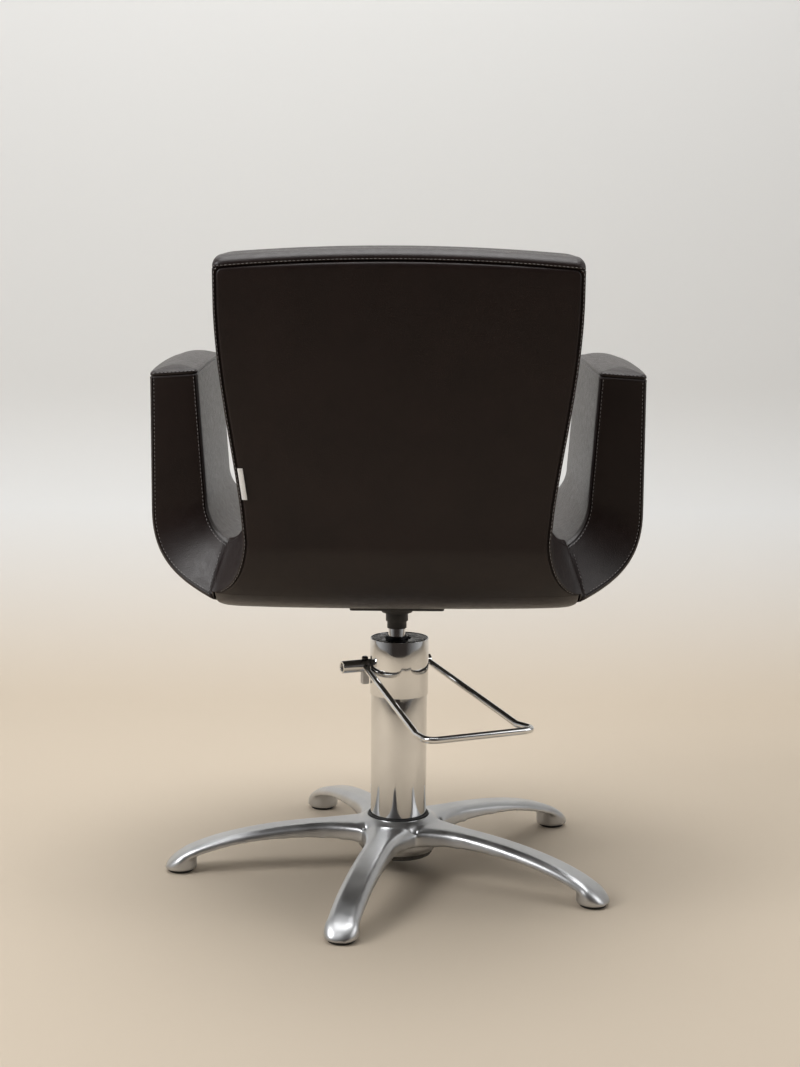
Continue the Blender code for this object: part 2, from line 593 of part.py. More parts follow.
add("thrust_washer", turned([(0.0, WASHER_LOW), (ROD_RADIUS, WASHER_LOW), (ROD_RADIUS, WASHER_TOP),
                             (0.0, WASHER_TOP)], 24, ROD_XY), BRONZE, piston)

# Rod, collar and seat plate
ROD_LOW = WASHER_TOP + GAP
FLANGE_FOOT = PLATE_LOW - CONE_HEIGHT
add("piston_rod", turned([(0.0, ROD_LOW), (ROD_RADIUS, ROD_LOW), (ROD_RADIUS, PLATE_LOW - 0.0040),
                          (0.0, PLATE_LOW - 0.0040)], 28), CHROME, seat)
add("rod_collar",
    turned([(ROD_RADIUS + GAP, COLLAR_LOW), (ROD_RADIUS + 0.0015, COLLAR_LOW),
            (ROD_RADIUS + 0.0015, COLLAR_LOW + 0.010), (ROD_RADIUS + 0.0034, COLLAR_LOW + 0.010),
            (ROD_RADIUS + 0.0034, FLANGE_FOOT - GAP), (ROD_RADIUS + GAP, FLANGE_FOOT - GAP)],
           24, ring=True), DARK_STEEL, seat)
BOLT_SPOTS = [(sx * PLATE_HALF_X * 0.72, sy * PLATE_HALF_Y * 0.723) for sx in (-1, 1) for sy in (-1, 1)]
PLATE_TOP = PLATE_LOW + PLATE_THICK
COVER_TOP = SHELL_LOW + COVER_THICK
BOARD_LOW = COVER_TOP + GAP
BOARD_TOP = BOARD_LOW + BOARD_THICK


def plate_holes():
    low, high = PLATE_LOW - 0.02, BOARD_LOW + 0.012
    return joined([rod((x, y, low), (x, y, high), 0.0034, 8) for x, y in BOLT_SPOTS])


plate = block((-PLATE_HALF_X, -PLATE_HALF_Y, PLATE_LOW), (PLATE_HALF_X, PLATE_HALF_Y, PLATE_TOP), bevel=0.001)
cone = turned([(0.0, FLANGE_FOOT), (ROD_RADIUS + CONE_LOW_OVER, FLANGE_FOOT),
               (ROD_RADIUS + CONE_TOP_OVER, PLATE_LOW + 0.0010), (0.0, PLATE_LOW + 0.0010)], 28)
socket = rod((0, 0, FLANGE_FOOT - 0.01), (0, 0, PLATE_LOW - 0.0040 + GAP), ROD_RADIUS + GAP, 28)
add("seat_plate", combined(combined(plate, [cone], "UNION"), [socket, plate_holes()]), STEEL, seat)
rail_low = Vector((PLATE_HALF_X * 0.545, -PLATE_HALF_Y + 0.004, PLATE_TOP + GAP))
rail_high = Vector((PLATE_HALF_X * 0.895, PLATE_HALF_Y - 0.004, SHELL_LOW - GAP))
right_rail = combined(block(rail_low, rail_high), [plate_holes()])
left_rail = mirrored(right_rail)
add("mount_rail_right", right_rail, STEEL, seat, smooth=False)
add("mount_rail_left", left_rail, STEEL, seat, smooth=False)
for k, (x, y) in enumerate(BOLT_SPOTS):
    bolt = hex_bolt(x, y, PLATE_LOW - GAP - 0.0045, PLATE_LOW - GAP, 0.0030, BOARD_LOW + 0.0115, 0.0058)
    add("plate_bolt_%d" % (k + 1), bolt, DARK_STEEL, seat)

# Bent flat bars inside the arms and the back, drawn for the right side
BAR_Z = BOARD_TOP - 0.0070 - BAR_THICK / 2
ARM_BAR_Y = -0.015
ARM_BAR_X = (ARM_OUT + ARM_IN_LOW) / 2 + 0.002
BACK_BAR_X = ARM_END * 0.55
BACK_BAR_HALF = 0.020
BACK_BAR_Y = (BACK_LOW_REAR + PANEL_THICK + BACK_LOW_FRONT) / 2 - 0.001
ARM_BAR_BEND = 0.075
BACK_BAR_BEND = 0.088


def bar_path(foot, start, bend, top, lean, flat):
    """A foot, a quarter bend and an upright, as (outwards, height) with the side each faces."""
    stops = [((foot, BAR_Z), (0.0, 1.0)), ((start, BAR_Z), (0.0, 1.0))]
    for k in range(1, 5):
        at = math.radians(90 - lean) * k / 4
        place = (start + bend * math.sin(at), BAR_Z + bend * (1 - math.cos(at)))
        stops.append((place, (-math.sin(at), math.cos(at))))
    (reach, height), normal = stops[-1]
    rise = top - height
    tilt = -normal[1] / normal[0]
    stops.append(((reach + rise * tilt, top), normal))
    return [(flat(*place), flat(*facing) - flat(0.0, 0.0)) for place, facing in stops]


def bar(stops, side, half, grow=0.0):
    section = [(-half - grow, -BAR_THICK / 2 - grow), (half + grow, -BAR_THICK / 2 - grow),
               (half + grow, BAR_THICK / 2 + grow), (-half - grow, BAR_THICK / 2 + grow)]
    return swept([(place, facing, side) for place, facing in stops], section)


def arm_flat(reach, height):
    return Vector((reach, ARM_BAR_Y, height))


def back_flat(reach, height):
    return Vector((BACK_BAR_X, -reach, height))


ARM_FOOT = ARM_END * 0.50
ARM_START = ARM_BAR_X - ARM_BAR_BEND
ARM_BAR_TOP = ARM_TOP - 0.047
ARM_BAR = bar_path(ARM_FOOT, ARM_START, ARM_BAR_BEND, ARM_BAR_TOP, 0.0, arm_flat)
ARM_POCKET = bar_path(ARM_END * 0.75, ARM_START, ARM_BAR_BEND, ARM_BAR_TOP + 0.001, 0.0, arm_flat)
LEAN = math.degrees(math.atan2(BACK_LOW_REAR - BACK_TOP_REAR, BACK_SEAM - BACK_BEND_OUT))
BACK_START = -BACK_BAR_Y - BACK_BAR_BEND
BACK_FOOT = -BACK_END * 0.375
BACK_BAR_TOP = BACK_SEAM - 0.063
BACK_BAR = bar_path(BACK_FOOT, BACK_START, BACK_BAR_BEND, BACK_BAR_TOP, LEAN, back_flat)
BACK_POCKET = bar_path(-BACK_END * 0.73, BACK_START, BACK_BAR_BEND, BACK_BAR_TOP + 0.001, LEAN, back_flat)
ARM_BOLTS = [(ARM_END * 0.61, ARM_BAR_Y), (ARM_END * 0.86, ARM_BAR_Y)]
BACK_BOLTS = [(BACK_BAR_X, BACK_END * 0.485), (BACK_BAR_X, BACK_END * 0.758)]
ACROSS_Y = Vector((0.0, 1.0, 0.0))
ACROSS_X = Vector((1.0, 0.0, 0.0))


def bar_holes(spots):
    return joined([rod((x, y, BOARD_LOW - 0.01), (x, y, BOARD_TOP + 0.01), 0.0034, 8) for x, y in spots])


def bar_bolts(label, spots):
    """Bolts with their heads on a bar, one row on each side."""
    top = BAR_Z + BAR_THICK / 2 + GAP
    for side, word in ((1, "right"), (-1, "left")):
        for k, (x, y) in enumerate(spots):
            made = hex_bolt(side * x, y, top, top + 0.0040, 0.0030, BOARD_LOW + 0.0003, 0.0058)
            add("%s_bolt_%s_%d" % (label, word, k + 1), made, DARK_STEEL, seat)


arm_bar = combined(bar(ARM_BAR, ACROSS_Y, BAR_HALF), [bar_holes(ARM_BOLTS)])
back_bar = combined(bar(BACK_BAR, ACROSS_X, BACK_BAR_HALF), [bar_holes(BACK_BOLTS)])
for label, shape in (("arm", arm_bar), ("back", back_bar)):
    other = mirrored(shape)
    add(label + "_frame_right", shape, STEEL, seat, smooth=False)
    add(label + "_frame_left", other, STEEL, seat, smooth=False)
bar_bolts("arm", ARM_BOLTS)
bar_bolts("back", BACK_BOLTS)

# Board with let-in places for the bars, and the cloth cover under it
BOARD_HALF = ARM_END - GAP
BOARD_REAR = BACK_END + GAP
BOARD_FRONT = SEAT_FRONT - 0.034
let_in = []
for side in (-1, 1):
    low_x, high_x = sorted((side * (ARM_FOOT - 0.0005), side * (ARM_END + 0.01)))
    let_in.append(block((low_x, ARM_BAR_Y - BAR_HALF - GAP, BAR_Z - BAR_THICK / 2 - GAP),
                        (high_x, ARM_BAR_Y + BAR_HALF + GAP, BOARD_TOP + 0.01)))
    middle = side * BACK_BAR_X
    let_in.append(block((middle - BACK_BAR_HALF - GAP, BACK_END - 0.01, BAR_Z - BAR_THICK / 2 - GAP),
                        (middle + BACK_BAR_HALF + GAP, 0.0005 - BACK_FOOT, BOARD_TOP + 0.01)))
board = block((-BOARD_HALF, BOARD_REAR, BOARD_LOW), (BOARD_HALF, BOARD_FRONT, BOARD_TOP))
ways = bar_holes(ARM_BOLTS + [(-x, y) for x, y in ARM_BOLTS] + BACK_BOLTS + [(-x, y) for x, y in BACK_BOLTS])
add("seat_board", combined(board, [joined(let_in), ways, plate_holes()]), PLYWOOD, seat, smooth=False)
cover = block((-BOARD_HALF, BOARD_REAR, SHELL_LOW), (BOARD_HALF, BOARD_FRONT, COVER_TOP))
add("dust_cover", combined(cover, [plate_holes()]), CLOTH, seat, smooth=False)


# Arms: a loft that comes down from the arm rest and turns in under the seat
def rounded_ring(corners, rounding, crowns, shares=(0.28, 0.72)):
    """Round four corners, and lift a few points of each side that has a crown."""
    out = []
    for k in range(4):
        before, here, after = corners[k - 1], corners[k], corners[(k + 1) % 4]
        back_way = (before - here).normalized() * rounding
        on_way = (after - here).normalized() * rounding
        out += [here + back_way, here + (back_way + on_way) * 0.293, here + on_way]
        if crowns[k] is not None:
            out += [here.lerp(after, share) + crowns[k] for share in shares]
    return out


def arm_ring(outer, inner, rear, front, inset=0.0):
    """Corners run outer rear, outer front, inner front, inner rear."""
    across = (inner - outer).normalized()
    outer, inner = outer + across * inset, inner - across * inset
    corners = [Vector((outer.x, rear[0] + inset, outer.z)), Vector((outer.x, front[0] - inset, outer.z)),
               Vector((inner.x, front[1] - inset, inner.z)), Vector((inner.x, rear[1] + inset, inner.z))]
    crown = across * (0.0025 if inset == 0.0 else 0.0012)
    return rounded_ring(corners, ARM_ROUND, [-crown, None, crown, None])


def arm_bend(share):
    at = share * math.pi / 2
    fall = ARM_BEND_OUT - ARM_END_LOW
    stops = (Vector((ARM_OUT, 0.0, ARM_BEND_OUT)), Vector((ARM_OUT, 0.0, ARM_BEND_OUT - 0.667 * fall)),
             Vector((ARM_END + 0.060, 0.0, ARM_END_LOW + 0.0198)), Vector((ARM_END, 0.0, ARM_END_LOW)))
    weights = ((1 - share) ** 3, 3 * share * (1 - share) ** 2, 3 * share ** 2 * (1 - share), share ** 3)
    outer = sum((stop * weight for stop, weight in zip(stops, weights)), Vector())
    inner = Vector((ARM_END + (ARM_IN_LOW - ARM_END) * math.cos(at), 0.0,
                    ARM_BEND_IN - (ARM_BEND_IN - SEAT_LINE) * math.sin(at)))
    rear = (ARM_REAR - 0.090 * share ** 2, ARM_REAR - 0.034 * share ** 2)
    front = (ARM_FRONT + 0.115 * share ** 1.5, ARM_FRONT + 0.125 * share ** 1.5)
    return arm_ring(outer, inner, rear, front)


def arm_upright(height, inset=0.0):
    share = (height - ARM_BEND_IN) / (ARM_TOP - ARM_BEND_IN)
    outer = Vector((ARM_OUT, 0.0, height))
    inner = Vector((ARM_IN_LOW + (ARM_IN_TOP - ARM_IN_LOW) * share, 0.0, height))
    front = ARM_FRONT - 0.010 * share - 0.030 * share ** 5
    return arm_ring(outer, inner, (ARM_REAR, ARM_REAR), (front, front), inset)


SEAM_RUN = (NOTCH - Vector((ARM_END, BACK_END, 0.0))).normalized()


def seam_block(outwards):
    """A large block that ends on the upright plane where an arm meets the back."""
    turn = math.atan2(SEAM_RUN.y, SEAM_RUN.x)
    side = 1.0 if outwards else -1.0
    mesh = block((-0.110, -0.1, SHELL_LOW - 0.07), (0.150, 0.1, SHELL_LOW + 0.21))
    shift = Matrix.Translation((0.0, side * (0.1 - GAP / 2), 0.0))
    place = Matrix.Translation((ARM_END, BACK_END, 0.0)) @ Matrix.Rotation(turn, 4, "Z")
    return moved(mesh, place @ shift)


arm_rings = []
for drop, inset in ((0.0, 0.0105), (0.0033, 0.0034), (0.0105, 0.0), (0.045, 0.0), (0.105, 0.0)):
    arm_rings.append(arm_upright(ARM_TOP - drop, inset))
arm_rings += [arm_bend(share) for share in (0.0, 0.18, 0.36, 0.54, 0.72, 0.87, 1.0)]
right_arm = combined(lofted(arm_rings), [seam_block(False), bar(ARM_POCKET, ACROSS_Y, BAR_HALF, GAP)])
left_arm = mirrored(right_arm)
add("arm_right", right_arm, LEATHER, seat)
add("arm_left", left_arm, LEATHER, seat)


# Back: a loft that comes down the back and turns in under the seat, with its outside panel and welt
BACK_FROM = max(BACK_BEND_OUT, BACK_BEND_IN) + 0.010
BACK_HEIGHTS = [BACK_FROM + (BACK_SEAM - BACK_FROM) * share for share in (0.87, 0.67, 0.435, 0.20, 0.0)]
ARCH_FROM = BACK_HEIGHTS[1]
BACK_SLOPE = (BACK_TOP_REAR - BACK_LOW_REAR) / (BACK_SEAM - BACK_BEND_OUT)


def back_width(height):
    rise = (height - BACK_BEND_OUT + 0.010) / ((BACK_SEAM - BACK_BEND_OUT) * 0.917)
    rise = min(1.0, max(0.0, rise))
    return BACK_WAIST + BACK_SPREAD * math.sin(rise * math.pi / 2) ** 1.6


def back_stop(share, height):
    """Rear point, front point and half width: share runs round the bend, height up the back."""
    if height is None:
        at = share * math.pi / 2
        rear = Vector((0.0, BACK_END + (BACK_LOW_REAR - BACK_END) * math.cos(at),
                       BACK_BEND_OUT - (BACK_BEND_OUT - SHELL_LOW) * math.sin(at)))
        front = Vector((0.0, BACK_END + (BACK_LOW_FRONT - BACK_END) * math.cos(at),
                        BACK_BEND_IN - (BACK_BEND_IN - SEAT_LINE) * math.sin(at)))
        flare = (abs(NOTCH.x) - BACK_WAIST) * (share / 0.66) ** 2.57
        return rear, front, min(BACK_WAIST + flare, NOTCH.x + 0.006)
    rise = (height - BACK_BEND_OUT) / (BACK_SEAM - BACK_BEND_OUT)
    rise_in = (height - BACK_BEND_IN) / (BACK_SEAM - BACK_BEND_IN)
    rear = Vector((0.0, BACK_LOW_REAR + (BACK_TOP_REAR - BACK_LOW_REAR) * rise, height))
    front = Vector((0.0, BACK_LOW_FRONT + (BACK_TOP_FRONT - BACK_LOW_FRONT) * rise_in, height))
    return rear, front, back_width(height)


def arched(point):
    """Let the top of the back fall away towards its corners, sliding along the lean of the back."""
    lift = min(1.0, max(0.0, (point.z - ARCH_FROM) / (BACK_SEAM - ARCH_FROM)))
    fall = BACK_ARCH * (point.x / (BACK_WAIST + BACK_SPREAD)) ** 2 * lift ** 2
    return point - Vector((0.0, BACK_SLOPE, 1.0)) * fall


def back_ring(stop, depth_from, depth_to, narrow, rounding, crown, inset=0.0):
    """A ring between two depths below the rear face. Without depth_to it runs to the crowned front face."""
    rear, front, half = stop
    inwards = (front - rear).normalized()
    start = rear + inwards * (depth_from + inset)
    end = front - inwards * inset if depth_to is None else rear + inwards * depth_to
    half = half - narrow - inset
    side = ACROSS_X * half
    corners = [start - side, start + side, end + side, end - side]
    faint = inwards * 0.0002
    crowns = [faint, None, inwards * crown, None]
    if depth_to is not None:
        crowns = [-inwards * crown, None, faint, None]
    ring_points = rounded_ring(corners, rounding, crowns, (0.25, 0.50, 0.75))
    return [arched(point) for point in ring_points]


BENDS = (0.0, 0.18, 0.36, 0.50, 0.66, 0.82, 1.0)


def panel_depth(share):
    """The outside panel thins out under the seat, where the bars come in."""
    return PANEL_THICK * (1 - 0.55 * share ** 2)


STEP_BACK = PANEL_THICK + GAP
LEDGE = BACK_SEAM
PANEL_TOP = LEDGE - 2 * WELT_RADIUS - 8 * GAP
cushion_rings = [back_ring(back_stop(0, BACK_TOP), 0.0, None, 0.0, 0.008, 0.001, 0.0110)]
cushion_rings += [back_ring(back_stop(0, BACK_TOP - 0.0045), 0.0, None, 0.0, 0.010, 0.001, 0.0032)]
cushion_rings += [back_ring(back_stop(0, LEDGE + 0.0030), 0.0, None, 0.0, 0.010, 0.001)]
cushion_rings += [back_ring(back_stop(0, LEDGE), 0.0010, None, 0.0, 0.010, 0.001)]
cushion_rings += [back_ring(back_stop(0, LEDGE - 0.0004), STEP_BACK, None, 0.0, 0.007, 0.001)]
for height in BACK_HEIGHTS:
    cushion_rings.append(back_ring(back_stop(0, height), STEP_BACK, None, 0.0, 0.007, 0.005))
for share in BENDS:
    depth = panel_depth(share) + GAP
    cushion_rings.append(back_ring(back_stop(share, None), depth, None, 0.0, 0.007, 0.003))
right_seam = seam_block(True)
seams = [right_seam, mirrored(right_seam)]
pockets = [bar(BACK_POCKET, ACROSS_X, BACK_BAR_HALF, GAP)]
pockets.append(mirrored(pockets[0]))
add("back_cushion", combined(lofted(cushion_rings), seams + pockets), LEATHER, seat)

PANEL_IN = 2.5 * WELT_RADIUS + 2 * GAP
PANEL_EDGE = PANEL_TOP - 0.005
panel_rings = [back_ring(back_stop(0, PANEL_TOP), 0.0010, PANEL_THICK, PANEL_IN + 0.0095, 0.004, 0.0005)]
panel_rings += [back_ring(back_stop(0, PANEL_EDGE), 0.0, PANEL_THICK, PANEL_IN + 0.0025, 0.004, 0.001)]
for height in BACK_HEIGHTS:
    panel_rings.append(back_ring(back_stop(0, height), 0.0, PANEL_THICK, PANEL_IN, 0.004, 0.003))
for share in BENDS:
    panel_rings.append(back_ring(back_stop(share, None), 0.0, panel_depth(share), PANEL_IN, 0.002, 0.003))
seams = [moved(right_seam, Matrix.Identity(4)), mirrored(right_seam)]
add("back_panel", combined(lofted(panel_rings), seams), LEATHER, seat)


def welt_point(stop, share=0.0):
    rear, front, half = stop
    inwards = (front - rear).normalized()
    depth = panel_depth(share) - WELT_RADIUS
    return arched(rear + inwards * depth + ACROSS_X * (half - PANEL_IN + 1.45 * WELT_RADIUS + GAP))


WELT_TOP = LEDGE - WELT_RADIUS - 3 * GAP
right_run = [welt_point(back_stop(share, None), share) for share in (0.50, 0.36, 0.18, 0.0)]
right_run += [welt_point(back_stop(0, height)) for height in reversed(BACK_HEIGHTS)]
corner = welt_point(back_stop(0, WELT_TOP))
right_run.append(corner)
across_top = []
for share in (0.5, 0.0, -0.5):
    spot = back_stop(0, WELT_TOP)
    x = spot[2] * share
    point = spot[0] + (spot[1] - spot[0]).normalized() * (STEP_BACK - WELT_RADIUS - GAP) + ACROSS_X * x
    across_top.append(arched(point))
left_run = [Vector((-point.x, point.y, point.z)) for point in reversed(right_run)]
line = right_run[:-1] + eased([right_run[-2], corner, across_top[0]], 0.008, 3)[1:-1] + across_top
line += eased([across_top[-1], left_run[0], left_run[1]], 0.008, 3)[1:-1] + left_run[1:]
add("back_welt", piped(line, WELT_RADIUS, 1), LEATHER, seat)


# Seat cushion: a loft from side to side with a crown and a front edge that comes down over the board
def seat_ring(x, drop):
    half = BOARD_HALF
    crown = SEAT_CROWN * (1 - (x / half) ** 2)
    rear = BOARD_REAR
    low = BOARD_TOP + GAP
    lip = SHELL_LOW + 0.001
    lip_rear = BOARD_FRONT + GAP
    points = [(rear, low), (lip_rear, low), (lip_rear, lip), (SEAT_FRONT - 0.008, lip)]
    points += [(SEAT_FRONT - 0.001, lip + 0.008), (SEAT_FRONT, SEAT_LINE - SEAT_THICK * 0.55)]
    points += [(SEAT_FRONT - 0.006, SEAT_LINE - SEAT_THICK * 0.237 - drop)]
    points += [(SEAT_FRONT - 0.021, SEAT_LINE - 0.001 - drop + crown * 0.5)]
    points += [(SEAT_FRONT - 0.046, SEAT_LINE + 0.007 - drop + crown)]
    for share, rise in ((0.30, 0.006), (0.60, 0.003), (0.85, 0.001)):
        y = SEAT_FRONT - 0.046 + (rear - SEAT_FRONT + 0.046) * share
        points.append((y, SEAT_LINE + rise - drop + crown))
    points.append((rear, SEAT_LINE - 0.004 - drop + crown * 0.4))
    return [Vector((x, y, z)) for y, z in points]


cushion = []
for share in (-1.0, -0.955, -0.80, -0.50, 0.0, 0.50, 0.80, 0.955, 1.0):
    cushion.append(seat_ring(share * BOARD_HALF, 0.006 if abs(share) == 1.0 else 0.0))
add("seat_cushion", lofted(cushion), LEATHER, seat)
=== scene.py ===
# %% [markdown]
# # Dressing a hairdressing chair
# The solids of the chair come in as a fixed frame: five bodies that slide and turn, with a plain
# mesh for each piece. This lesson puts finer pieces over them, gives every piece its finish and
# sets up a small studio. Each new piece is made in the place of the solid it stands for, so that
# nothing has to be fitted by eye, and it rides on the same body, so the chair still moves.

# %% Load the frame
import math

import bmesh
import bpy
from mathutils import Matrix, Vector


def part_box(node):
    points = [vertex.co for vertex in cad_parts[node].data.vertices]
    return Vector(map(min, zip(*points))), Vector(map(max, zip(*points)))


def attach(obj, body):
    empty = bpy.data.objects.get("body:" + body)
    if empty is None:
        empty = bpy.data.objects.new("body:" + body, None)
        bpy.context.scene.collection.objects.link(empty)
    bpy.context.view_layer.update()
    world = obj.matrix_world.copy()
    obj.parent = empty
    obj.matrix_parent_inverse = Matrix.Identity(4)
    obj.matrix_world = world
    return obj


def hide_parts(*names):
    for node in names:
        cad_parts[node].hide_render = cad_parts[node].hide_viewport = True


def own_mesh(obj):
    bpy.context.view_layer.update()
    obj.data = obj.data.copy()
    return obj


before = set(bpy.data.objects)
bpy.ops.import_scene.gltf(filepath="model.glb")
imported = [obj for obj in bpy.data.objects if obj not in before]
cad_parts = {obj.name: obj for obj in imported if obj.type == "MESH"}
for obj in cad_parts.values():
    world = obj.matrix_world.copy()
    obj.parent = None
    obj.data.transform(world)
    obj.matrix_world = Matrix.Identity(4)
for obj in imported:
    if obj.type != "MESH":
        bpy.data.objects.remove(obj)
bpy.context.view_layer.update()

scene = bpy.context.scene

# %% [markdown]
# ## The camera
# The feet of the base stand on a known circle, so they tell where the picture was taken from: about
# 2.6 m behind the chair, at the height of its back, looking a little down. A longer lens keeps the
# upright lines nearly upright. The sensor's 36 mm lie along the longer side of a portrait picture.

# %% Camera
PICTURE = (800, 1067)
FOCAL_PIXELS = 1957.2
camera_data = bpy.data.cameras.new("camera")
camera_data.sensor_width = 36.0
camera_data.lens = FOCAL_PIXELS / PICTURE[1] * camera_data.sensor_width
camera = bpy.data.objects.new("camera", camera_data)
scene.collection.objects.link(camera)
PITCH = math.radians(8.854)
ROLL = math.radians(0.40)
CAMERA_PLACE = (-0.0003, -2.6169, 0.8750)
turned_down = Matrix.Rotation(math.pi / 2 - PITCH, 4, "X") @ Matrix.Rotation(ROLL, 4, "Z")
camera.matrix_world = Matrix.Translation(CAMERA_PLACE) @ turned_down
scene.camera = camera
print("lens %.1f mm" % camera_data.lens)

# %% [markdown]
# ## Floor and backdrop
# A studio sweep is one sheet of paper that runs along the floor and bends up behind the object, so no
# line cuts the picture. A single edge is drawn as floor, quarter bend and wall, and extruded sideways.
# Its faces look inwards, because the paper is see-through from behind and lets other views look in.

# %% Studio sweep
SWEEP_HALF, FLOOR_FRONT, WALL_Y, WALL_TOP = 5.0, -3.4, 1.45, 3.6
BEND, BEND_STEPS = 0.55, 16
sweep = bmesh.new()
line = [(FLOOR_FRONT, 0.0), (WALL_Y - BEND, 0.0)]
for k in range(1, BEND_STEPS + 1):
    at = math.pi / 2 * k / BEND_STEPS
    line.append((WALL_Y - BEND + BEND * math.sin(at), BEND * (1 - math.cos(at))))
line.append((WALL_Y, WALL_TOP))
knots = [sweep.verts.new((-SWEEP_HALF, y, z)) for y, z in line]
edges = [sweep.edges.new(pair) for pair in zip(knots, knots[1:])]
grown = bmesh.ops.extrude_edge_only(sweep, edges=edges)
bmesh.ops.translate(sweep, vec=(2 * SWEEP_HALF, 0, 0),
                    verts=[item for item in grown["geom"] if isinstance(item, bmesh.types.BMVert)])
sweep.normal_update()
sweep.faces.ensure_lookup_table()
if sweep.faces[0].normal.z < 0:
    bmesh.ops.reverse_faces(sweep, faces=sweep.faces[:])
for face in sweep.faces:
    face.smooth = True
sweep_mesh = bpy.data.meshes.new("studio_sweep")
sweep.to_mesh(sweep_mesh)
sweep.free()
studio_sweep = bpy.data.objects.new("studio_sweep", sweep_mesh)
scene.collection.objects.link(studio_sweep)
print("sweep of", len(sweep_mesh.polygons), "faces")

# %% [markdown]
# ## Light
# Soft light comes from large lamps: one high on the left, a weaker one on the right, one overhead and
# one that washes the wall. The world is a quiet grey that darkens towards the side
# where the camera stands, which gives the polished metal something dark to mirror. Looked at straight,
# past the edge of the paper, it is pale all round.

# %% Lamps and world
def lamp(name, place, aim, size, power):
    """A square area lamp that looks at a point."""
    data = bpy.data.lights.new(name, "AREA")
    data.shape = "SQUARE"
    data.size = size
    data.energy = power
    item = bpy.data.objects.new(name, data)
    place, aim = Vector(place), Vector(aim)
    turn = (aim - place).to_track_quat("-Z", "Y").to_matrix().to_4x4()
    item.matrix_world = Matrix.Translation(place) @ turn
    scene.collection.objects.link(item)


lamp("key_lamp", place=(-2.5, -1.3, 2.3), aim=(0, 0, 0.45), size=1.5, power=62)
lamp("fill_lamp", place=(2.6, -0.9, 1.7), aim=(0, 0, 0.45), size=1.6, power=16)
lamp("top_lamp", place=(0.0, 0.3, 3.1), aim=(0, 0, 0.4), size=2.2, power=42)
lamp("wall_lamp", place=(0.0, -0.1, 3.3), aim=(0, WALL_Y, 0.9), size=2.0, power=40)

WORLD_STRENGTH = 0.60
DARK_SIDE, GREY_SIDE, PALE = (0.06, 0.05, 0.045), (0.72, 0.72, 0.72), (0.62, 0.61, 0.59)
world = bpy.data.worlds.new("studio")
world.use_nodes = True
scene.world = world
tree = world.node_tree
where = tree.nodes.new("ShaderNodeTexCoord")
parts = tree.nodes.new("ShaderNodeSeparateXYZ")
ramp = tree.nodes.new("ShaderNodeValToRGB")
shift = tree.nodes.new("ShaderNodeMapRange")
shift.inputs["From Min"].default_value = -1.0
tree.links.new(where.outputs["Generated"], parts.inputs["Vector"])
tree.links.new(parts.outputs["Y"], shift.inputs["Value"])
tree.links.new(shift.outputs["Result"], ramp.inputs["Fac"])
tree.links.new(ramp.outputs["Color"], tree.nodes["Background"].inputs["Color"])
for element, at, colour in zip(ramp.color_ramp.elements, (0.05, 0.45), (DARK_SIDE, GREY_SIDE)):
    element.position, element.color = at, (*colour, 1.0)
tree.nodes["Background"].inputs["Strength"].default_value = WORLD_STRENGTH
pale = tree.nodes.new("ShaderNodeBackground")
pale.inputs["Color"].default_value = (*PALE, 1.0)
seen = tree.nodes.new("ShaderNodeMixShader")
tree.links.new(tree.nodes.new("ShaderNodeLightPath").outputs["Is Camera Ray"], seen.inputs["Fac"])
tree.links.new(tree.nodes["Background"].outputs["Background"], seen.inputs[1])
tree.links.new(pale.outputs["Background"], seen.inputs[2])
tree.links.new(seen.outputs["Shader"], tree.nodes["World Output"].inputs["Surface"])
scene.view_settings.view_transform = "Standard"

# %% [markdown]
# ## Finishes
# Every finish is built from nodes on Object coordinates, which are metres here. Four helpers keep the
# cells short: one starts a material with its plain values on the shader, one adds a noise or cell
# texture of a given grain size in millimetres, and two let such textures drive a value or the bumps.

# %% Material helpers
def finish(name, colour, metallic, roughness, **sockets):
    """A material with a Principled shader and plain values on its sockets."""
    made = bpy.data.materials.new(name)
    made.use_nodes = True
    shader = made.node_tree.nodes["Principled BSDF"]
    shader.inputs["Base Color"].default_value = (*colour, 1.0)
    shader.inputs["Metallic"].default_value = metallic
    shader.inputs["Roughness"].default_value = roughness
    for socket, value in sockets.items():
        shader.inputs[socket.replace("_", " ")].default_value = value
    made.diffuse_color = (*colour, 1.0)
    return made


def grain(made, size_mm, stretch=(1, 1, 1), detail=3.0, kind="ShaderNodeTexNoise"):
    """A texture node whose cells are about size_mm across, stretched along the axes."""
    nodes, links = made.node_tree.nodes, made.node_tree.links
    coords = nodes.new("ShaderNodeTexCoord")
    mapping = nodes.new("ShaderNodeMapping")
    mapping.inputs["Scale"].default_value = stretch
    texture = nodes.new(kind)
    texture.inputs["Scale"].default_value = 1000.0 / size_mm
    if "Detail" in texture.inputs:
        texture.inputs["Detail"].default_value = detail
    links.new(coords.outputs["Object"], mapping.inputs["Vector"])
    links.new(mapping.outputs["Vector"], texture.inputs["Vector"])
    return texture


def vary(made, texture, socket, low, high, span=(0.3, 0.7)):
    """Let a texture drive a number or a colour of the shader between two values."""
    nodes, links = made.node_tree.nodes, made.node_tree.links
    ramp = nodes.new("ShaderNodeValToRGB")
    for element, at, value in zip(ramp.color_ramp.elements, span, (low, high)):
        element.position = at
        element.color = (*value, 1.0) if isinstance(value, tuple) else (value, value, value, 1.0)
    links.new(texture.outputs[0], ramp.inputs["Fac"])
    links.new(ramp.outputs["Color"], nodes["Principled BSDF"].inputs[socket])


